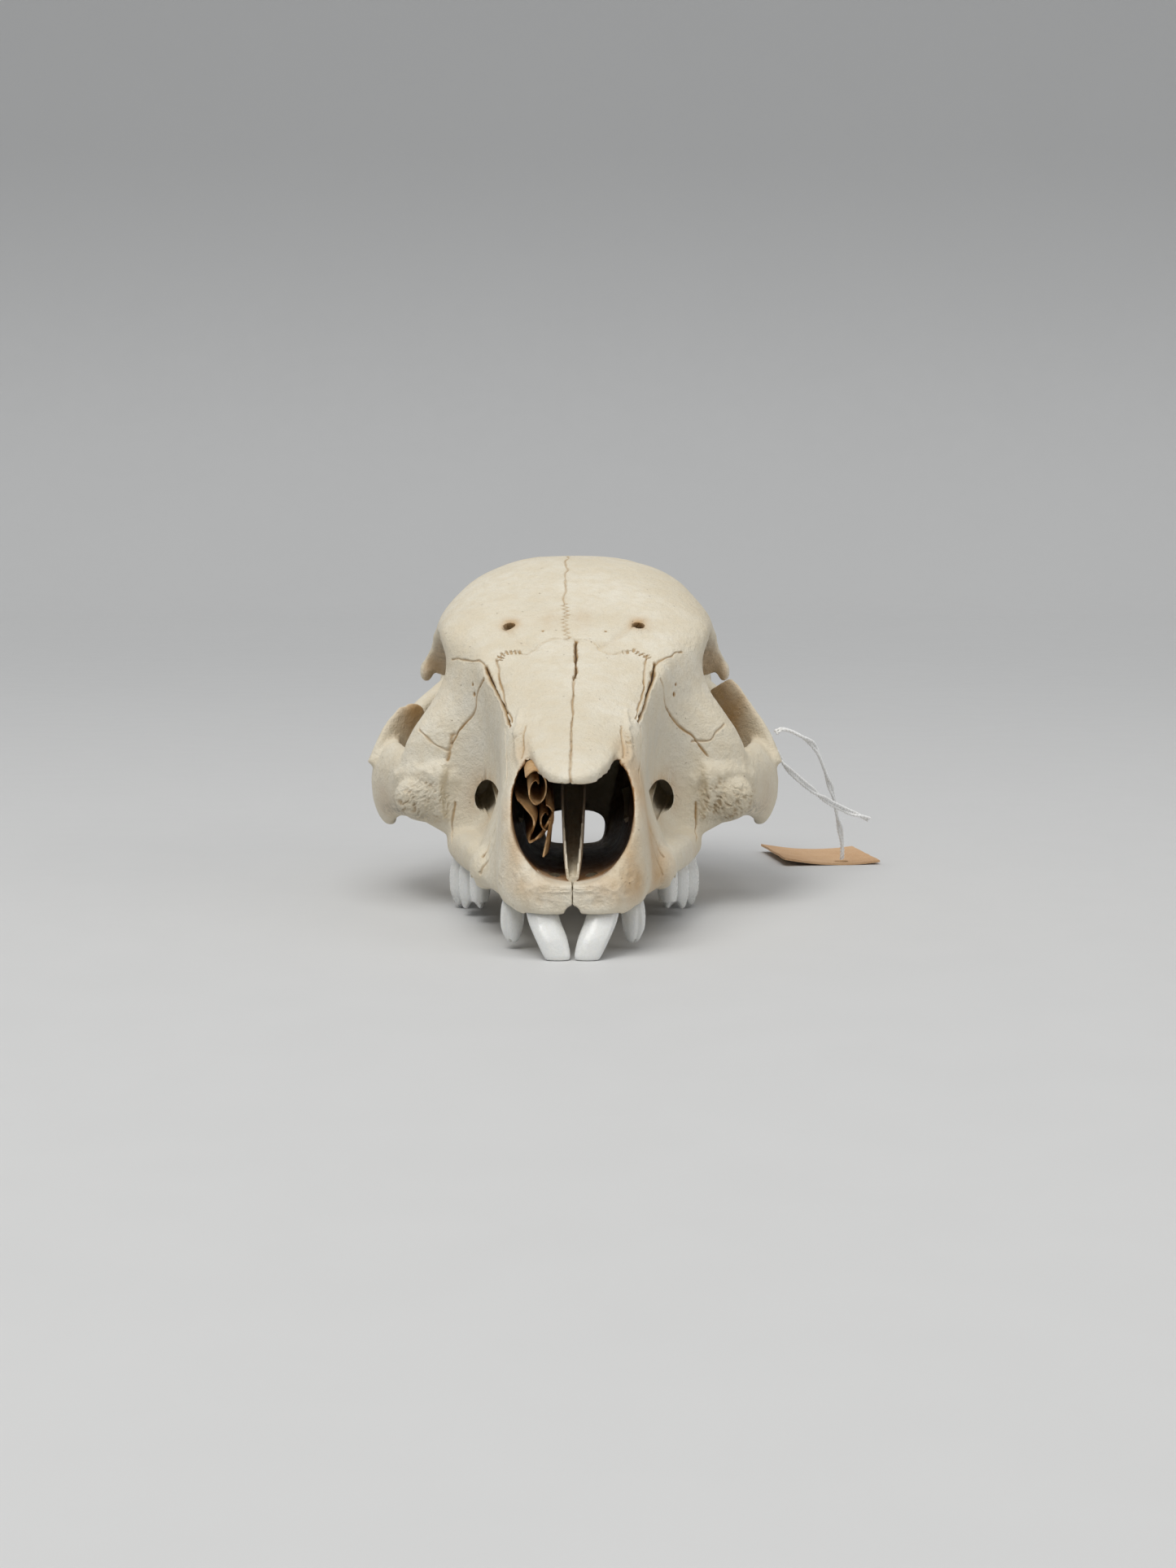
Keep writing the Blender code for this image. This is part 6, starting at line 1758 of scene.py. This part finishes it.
@dataclass(frozen=True)
class DryBone(Finish):
    """Dry bone: ivory with paler and greyer clouds, tan stains, brown in its seams, amber brown inside the
    nose, and painted shade: darker deep in the nose, in pits and holes, on the brow plates' inner faces and
    under the cheek bones.
    """

    ivory: tuple = (0.70, 0.63, 0.49)
    pale: tuple = (0.79, 0.735, 0.61)
    cool: tuple = (0.58, 0.56, 0.50)
    tan: tuple = (0.53, 0.335, 0.155)
    line: tuple = (0.42, 0.27, 0.12)
    gap: tuple = (0.05, 0.026, 0.014)
    amber: tuple = (0.36, 0.19, 0.075)
    # Painted shade deep inside the nose
    hollow: tuple = (0.16, 0.08, 0.035)
    # Colour of the painted shade on the brow plates' inner faces and under the cheek bones
    grime: tuple = (0.16, 0.14, 0.115)

    def material(self, effects: Effects) -> bpy.types.Material:
        """Builds the material."""
        tree, shader, place = self.start()
        cloud = tree.group(effects.mottle, {"Vector": place, "Scale": 46.0})
        spread = tree.group(effects.mottle, {"Vector": place, "Scale": 190.0})
        masks = {name: tree.add("Attribute", attribute_name=name).outputs["Fac"]
                 for name in ("groove", "rough", "inner", "tan", "cool", "grime")}
        colour = tree.mix(cloud.outputs["Broad"], self.ivory, self.pale)
        speck = tree.maths("MULTIPLY", cloud.outputs["Fine"], 0.5)
        colour = tree.mix(speck, colour, (0.70, 0.60, 0.43))
        # Painted shade: the nose's inner walls go from amber brown to dark brown further in
        depth = tree.add("SeparateXYZ", {0: place}).outputs["Y"]
        inside = tree.mix(tree.span(depth, -0.05, -0.015), self.amber, self.hollow)
        for name, target, reach in (("cool", self.cool, 0.75), ("tan", self.tan, 0.95),
                                    ("inner", inside, 1.1)):
            broken = tree.maths("MULTIPLY_ADD", spread.outputs["Broad"], 0.5, 0.65)
            share = tree.maths("MULTIPLY", tree.maths("MULTIPLY", masks[name], broken), reach, clamp=True)
            colour = tree.mix(share, colour, target)
        colour = tree.mix(tree.maths("MULTIPLY", masks["rough"], 0.35), colour, (0.60, 0.52, 0.38))
        # Painted shade on the brow plates' inner faces and under the cheek bones, broken up by fine noise
        painted_shade_share = tree.maths("MULTIPLY", masks["grime"], tree.span(spread.outputs["Fine"], 0.1, 0.8),
                          clamp=True)
        colour = tree.mix(painted_shade_share, colour, self.grime)
        pits = tree.group(effects.pores, {"Vector": place, "Scale": 620.0, "Share": 0.16}).outputs["Pit"]
        colour = tree.mix(tree.maths("MULTIPLY", pits, 0.4), colour, (0.36, 0.24, 0.12))
        # Seams take their own brown line and dark gap; the pits and holes carried in groove are painted shade
        colour = tree.mix(tree.maths("MULTIPLY", masks["groove"], 1.9, clamp=True), colour, self.line)
        colour = tree.mix(tree.span(masks["groove"], 0.55, 0.95), colour, self.gap)
        grain = tree.noise(place, 2600.0, 4.0, 0.65)
        soft = tree.noise(place, 700.0, 3.0, 0.6)
        height = tree.maths("MULTIPLY_ADD", soft, 1.2, tree.maths("MULTIPLY", grain, 0.55))
        height = tree.maths("SUBTRACT", height, tree.maths("MULTIPLY", pits, 1.1))
        coarse = tree.maths("MULTIPLY", masks["rough"], tree.noise(place, 1500.0, 5.0, 0.75))
        height = tree.maths("MULTIPLY_ADD", coarse, 1.6, height)
        rough = tree.span(spread.outputs["Fine"], 0.0, 1.0, self.roughness - 0.08, self.roughness + 0.1)
        shader.inputs["Specular IOR Level"].default_value = 0.35
        return self.finish(tree, shader, colour, height, rough)


@dataclass(frozen=True)
class ThinBone(Finish):
    """The paper-thin bone inside the nose: amber brown, with painted shade that darkens it deep inside."""

    near: tuple = (0.52, 0.31, 0.13)
    # Painted shade deep inside the nose
    deep: tuple = (0.11, 0.045, 0.018)

    def material(self, effects: Effects) -> bpy.types.Material:
        """Builds the material."""
        tree, shader, place = self.start()
        cloud = tree.group(effects.mottle, {"Vector": place, "Scale": 140.0})
        depth = tree.add("SeparateXYZ", {0: place}).outputs["Y"]
        # Painted shade: darker further into the nose
        share = tree.span(depth, -0.052, -0.028)
        colour = tree.mix(cloud.outputs["Broad"], self.near, (0.66, 0.46, 0.24))
        colour = tree.mix(tree.maths("MULTIPLY", cloud.outputs["Fine"], 0.4), colour, (0.33, 0.16, 0.06))
        colour = tree.mix(share, colour, self.deep)
        grain = tree.noise(place, 1800.0, 4.0, 0.6)
        return self.finish(tree, shader, colour, grain, tree.span(cloud.outputs["Fine"], 0, 1, 0.38, 0.55))


@dataclass(frozen=True)
class MilkEnamel(Finish):
    """Milk teeth: cool white, glossy, a little creamier towards the root, with faint growth lines."""

    white: tuple = (0.74, 0.745, 0.725)
    cream: tuple = (0.72, 0.68, 0.58)

    def material(self, effects: Effects) -> bpy.types.Material:
        """Builds the material."""
        tree, shader, place = self.start()
        cloud = tree.group(effects.mottle, {"Vector": place, "Scale": 210.0})
        lines = tree.group(effects.grain, {"Vector": place, "Stretch": (1.0, 1.0, 0.12), "Scale": 1500.0})
        tall = tree.add("SeparateXYZ", {0: place}).outputs["Z"]
        colour = tree.mix(tree.span(tall, 0.0075, 0.0125), self.white, self.cream)
        colour = tree.mix(tree.maths("MULTIPLY", cloud.outputs["Fine"], 0.25), colour, (0.66, 0.66, 0.63))
        colour = tree.mix(tree.maths("MULTIPLY", lines.outputs["Grain"], 0.12), colour, (0.60, 0.57, 0.49))
        height = tree.maths("MULTIPLY_ADD", cloud.outputs["Fine"], 0.5,
                            tree.maths("MULTIPLY", lines.outputs["Grain"], 0.4))
        shader.inputs["Coat Weight"].default_value = 0.25
        shader.inputs["Coat Roughness"].default_value = 0.18
        shader.inputs["Subsurface Weight"].default_value = 0.12
        shader.inputs["Subsurface Radius"].default_value = (0.0012, 0.0009, 0.0006)
        rough = tree.span(cloud.outputs["Fine"], 0.0, 1.0, self.roughness - 0.05, self.roughness + 0.09)
        return self.finish(tree, shader, colour, height, rough)


@dataclass(frozen=True)
class Cotton(Finish):
    """White cotton thread: matt, with fine fibres and a slight sheen."""

    white: tuple = (0.92, 0.92, 0.91)
    shade: tuple = (0.80, 0.80, 0.785)

    def material(self, effects: Effects) -> bpy.types.Material:
        """Builds the material."""
        tree, shader, place = self.start()
        fibres = tree.group(effects.grain, {"Vector": place, "Stretch": (1.0, 1.0, 0.5), "Scale": 6500.0})
        cloud = tree.group(effects.mottle, {"Vector": place, "Scale": 300.0})
        colour = tree.mix(tree.maths("MULTIPLY", fibres.outputs["Grain"], 0.6), self.white, self.shade)
        colour = tree.mix(tree.maths("MULTIPLY", cloud.outputs["Broad"], 0.2), colour, (0.78, 0.755, 0.70))
        shader.inputs["Sheen Weight"].default_value = 0.35
        shader.inputs["Sheen Roughness"].default_value = 0.5
        rough = tree.span(fibres.outputs["Grain"], 0.0, 1.0, self.roughness - 0.08, self.roughness + 0.06)
        return self.finish(tree, shader, colour, fibres.outputs["Grain"], rough)


@dataclass(frozen=True)
class BuffCard(Finish):
    """Bare buff card with paper fibres and darker specks."""

    buff: tuple = (0.56, 0.335, 0.175)
    light: tuple = (0.64, 0.41, 0.23)

    def material(self, effects: Effects) -> bpy.types.Material:
        """Builds the material."""
        tree, shader, place = self.start()
        cloud = tree.group(effects.mottle, {"Vector": place, "Scale": 120.0})
        fibre = tree.group(effects.grain, {"Vector": place, "Stretch": (1.0, 0.25, 1.0), "Scale": 2600.0})
        specks = tree.group(effects.pores, {"Vector": place, "Scale": 900.0, "Share": 0.22}).outputs["Pit"]
        colour = tree.mix(cloud.outputs["Broad"], self.buff, self.light)
        colour = tree.mix(tree.maths("MULTIPLY", fibre.outputs["Grain"], 0.3), colour, (0.68, 0.48, 0.30))
        colour = tree.mix(tree.maths("MULTIPLY", specks, 0.35), colour, (0.26, 0.13, 0.05))
        height = tree.maths("MULTIPLY_ADD", cloud.outputs["Fine"], 0.5, fibre.outputs["Grain"])
        rough = tree.span(cloud.outputs["Fine"], 0.0, 1.0, self.roughness - 0.06, self.roughness + 0.1)
        return self.finish(tree, shader, colour, height, rough)


@dataclass(frozen=True)
class PaleFloor(Finish):
    """The plain pale surface that the skull stands on."""

    pale: tuple = (0.62, 0.62, 0.615)

    def material(self, effects: Effects) -> bpy.types.Material:
        """Builds the material."""
        tree, shader, place = self.start()
        cloud = tree.group(effects.mottle, {"Vector": place, "Scale": 9.0})
        colour = tree.mix(tree.maths("MULTIPLY", cloud.outputs["Broad"], 0.08), self.pale,
                          (0.57, 0.57, 0.565))
        rough = tree.span(cloud.outputs["Fine"], 0.0, 1.0, self.roughness - 0.03, self.roughness + 0.03)
        return self.finish(tree, shader, colour, cloud.outputs["Fine"], rough)


# Stage

class LampKind(Enum):
    """A soft box near the skull, or a wide even sky from one side."""

    BOX = "AREA"
    SKY = "SUN"


@dataclass(frozen=True)
class SoftLamp:
    """One soft light: where it is, how wide, in metres or for a sky in radians, its power and its colour."""

    name: str
    place: tuple
    width: float
    power: float
    colour: tuple = (1.0, 1.0, 1.0)
    kind: LampKind = LampKind.BOX


@dataclass
class Stage:
    """The camera, the pale sweep and the soft lights."""

    camera_at: tuple = (0.00258, -0.4485, 0.068)
    pitch: float = 0.1006
    focal_pixels: float = 2898.0
    picture: tuple = (1445, 1927)
    aim: tuple = (0.0, 0.0, 0.03)
    lights: tuple = (
        SoftLamp("key_light", (-0.3, -0.45, 0.9), 0.5, 3.6, (1.0, 0.985, 0.96)),
        SoftLamp("right_light", (0.8, -0.45, 0.45), 0.6, 1.4, (1.0, 0.97, 0.93)),
        SoftLamp("sky_light", (-0.1, -0.25, 1.0), 1.1, 1.32, (1.0, 1.0, 0.99), LampKind.SKY),
    )

    def camera(self) -> None:
        """The photo's camera: sensor 36 mm along the taller side of the picture, no shift, no blur."""
        lens = bpy.data.cameras.new("camera")
        lens.sensor_width = 36.0
        lens.lens = self.focal_pixels * 36.0 / max(self.picture)
        lens.clip_start, lens.clip_end = 0.01, 20.0
        eye = bpy.data.objects.new("camera", lens)
        eye.location = self.camera_at
        eye.rotation_euler = (math.pi / 2 - self.pitch, 0.0, 0.0)
        bpy.context.scene.collection.objects.link(eye)
        bpy.context.scene.camera = eye

    def sweep(self, finish: bpy.types.Material) -> None:
        """A floor that curves up far behind: a quarter circle of radius r between two flats, across x."""
        turn = np.linspace(0, math.pi / 2, 24)
        back, radius, top = 1.7, 0.5, 2.4
        y = np.r_[np.linspace(-2.0, back, 24), back + radius * np.sin(turn[1:]), [back + radius]]
        z = np.r_[np.zeros(24), radius * (1 - np.cos(turn[1:])), [top]]
        x = np.linspace(-2.6, 2.6, 30)
        grid = np.stack(np.broadcast_arrays(x[None], y[:, None], z[:, None]), axis=-1)
        mesh = bpy.data.meshes.new("floor")
        fill_mesh(mesh, grid.reshape(-1, 3), [grid_faces(*grid.shape[:2], False)])
        mesh.shade_smooth()
        mesh.materials.append(finish)
        floor = bpy.data.objects.new("floor", mesh)
        bpy.context.scene.collection.objects.link(floor)
        floor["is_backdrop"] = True

    def light(self) -> None:
        """The soft boxes, aimed at the skull, and a pale world."""
        for box in self.lights:
            lamp = bpy.data.lights.new(box.name, box.kind.value)
            lamp.energy, lamp.color = box.power, box.colour
            if box.kind is LampKind.SKY:
                lamp.angle = box.width
            else:
                lamp.size = box.width
            hung = bpy.data.objects.new(box.name, lamp)
            x, y, z = (a - b for a, b in zip(box.place, self.aim))
            hung.location = box.place
            hung.rotation_euler = (math.atan2(math.hypot(x, y), z), 0.0, math.atan2(y, x) + math.pi / 2)
            bpy.context.scene.collection.objects.link(hung)
        world = bpy.data.worlds.new("pale_room")
        world.use_nodes = True
        world.node_tree.nodes["Background"].inputs[0].default_value = (0.92, 0.95, 1.0, 1.0)
        world.node_tree.nodes["Background"].inputs[1].default_value = 0.3
        bpy.context.scene.world = world
        bpy.context.scene.view_settings.view_transform = "Standard"


def corners() -> list[list[float]]:
    """The whole object's box as plain numbers."""
    return [[float(number) for number in corner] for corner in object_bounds()]


def main() -> None:
    """Builds the stage and each piece in order."""
    logging.basicConfig(level=logging.INFO, format="%(message)s")
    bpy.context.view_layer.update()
    effects = Effects()
    stage = Stage()
    stage.camera()
    stage.sweep(PaleFloor("pale_floor", 0.6, 0.02).material(effects))
    stage.light()
    bone = DryBone("dry_bone", 0.56, 0.8).material(effects)
    thin = ThinBone("thin_bone", 0.45, 0.3).material(effects)
    enamel = MilkEnamel("milk_enamel", 0.26, 0.12).material(effects)
    cotton = Cotton("white_cotton", 0.86, 0.25).material(effects)
    buff = BuffCard("buff_card", 0.78, 0.35).material(effects)
    cranium, teeth = Cranium(), Teeth()
    tag = Card().build(buff)
    log.info("card done")
    Threads().build(cranium, tag, cotton)
    log.info("threads done")
    teeth.build(enamel)
    log.info("teeth done")
    NoseBones().build(bone, thin)
    log.info("nose bones done")
    cranium.build(teeth.sockets(), bone)
    log.info("skull done")


if __name__ == "__main__":
    main()
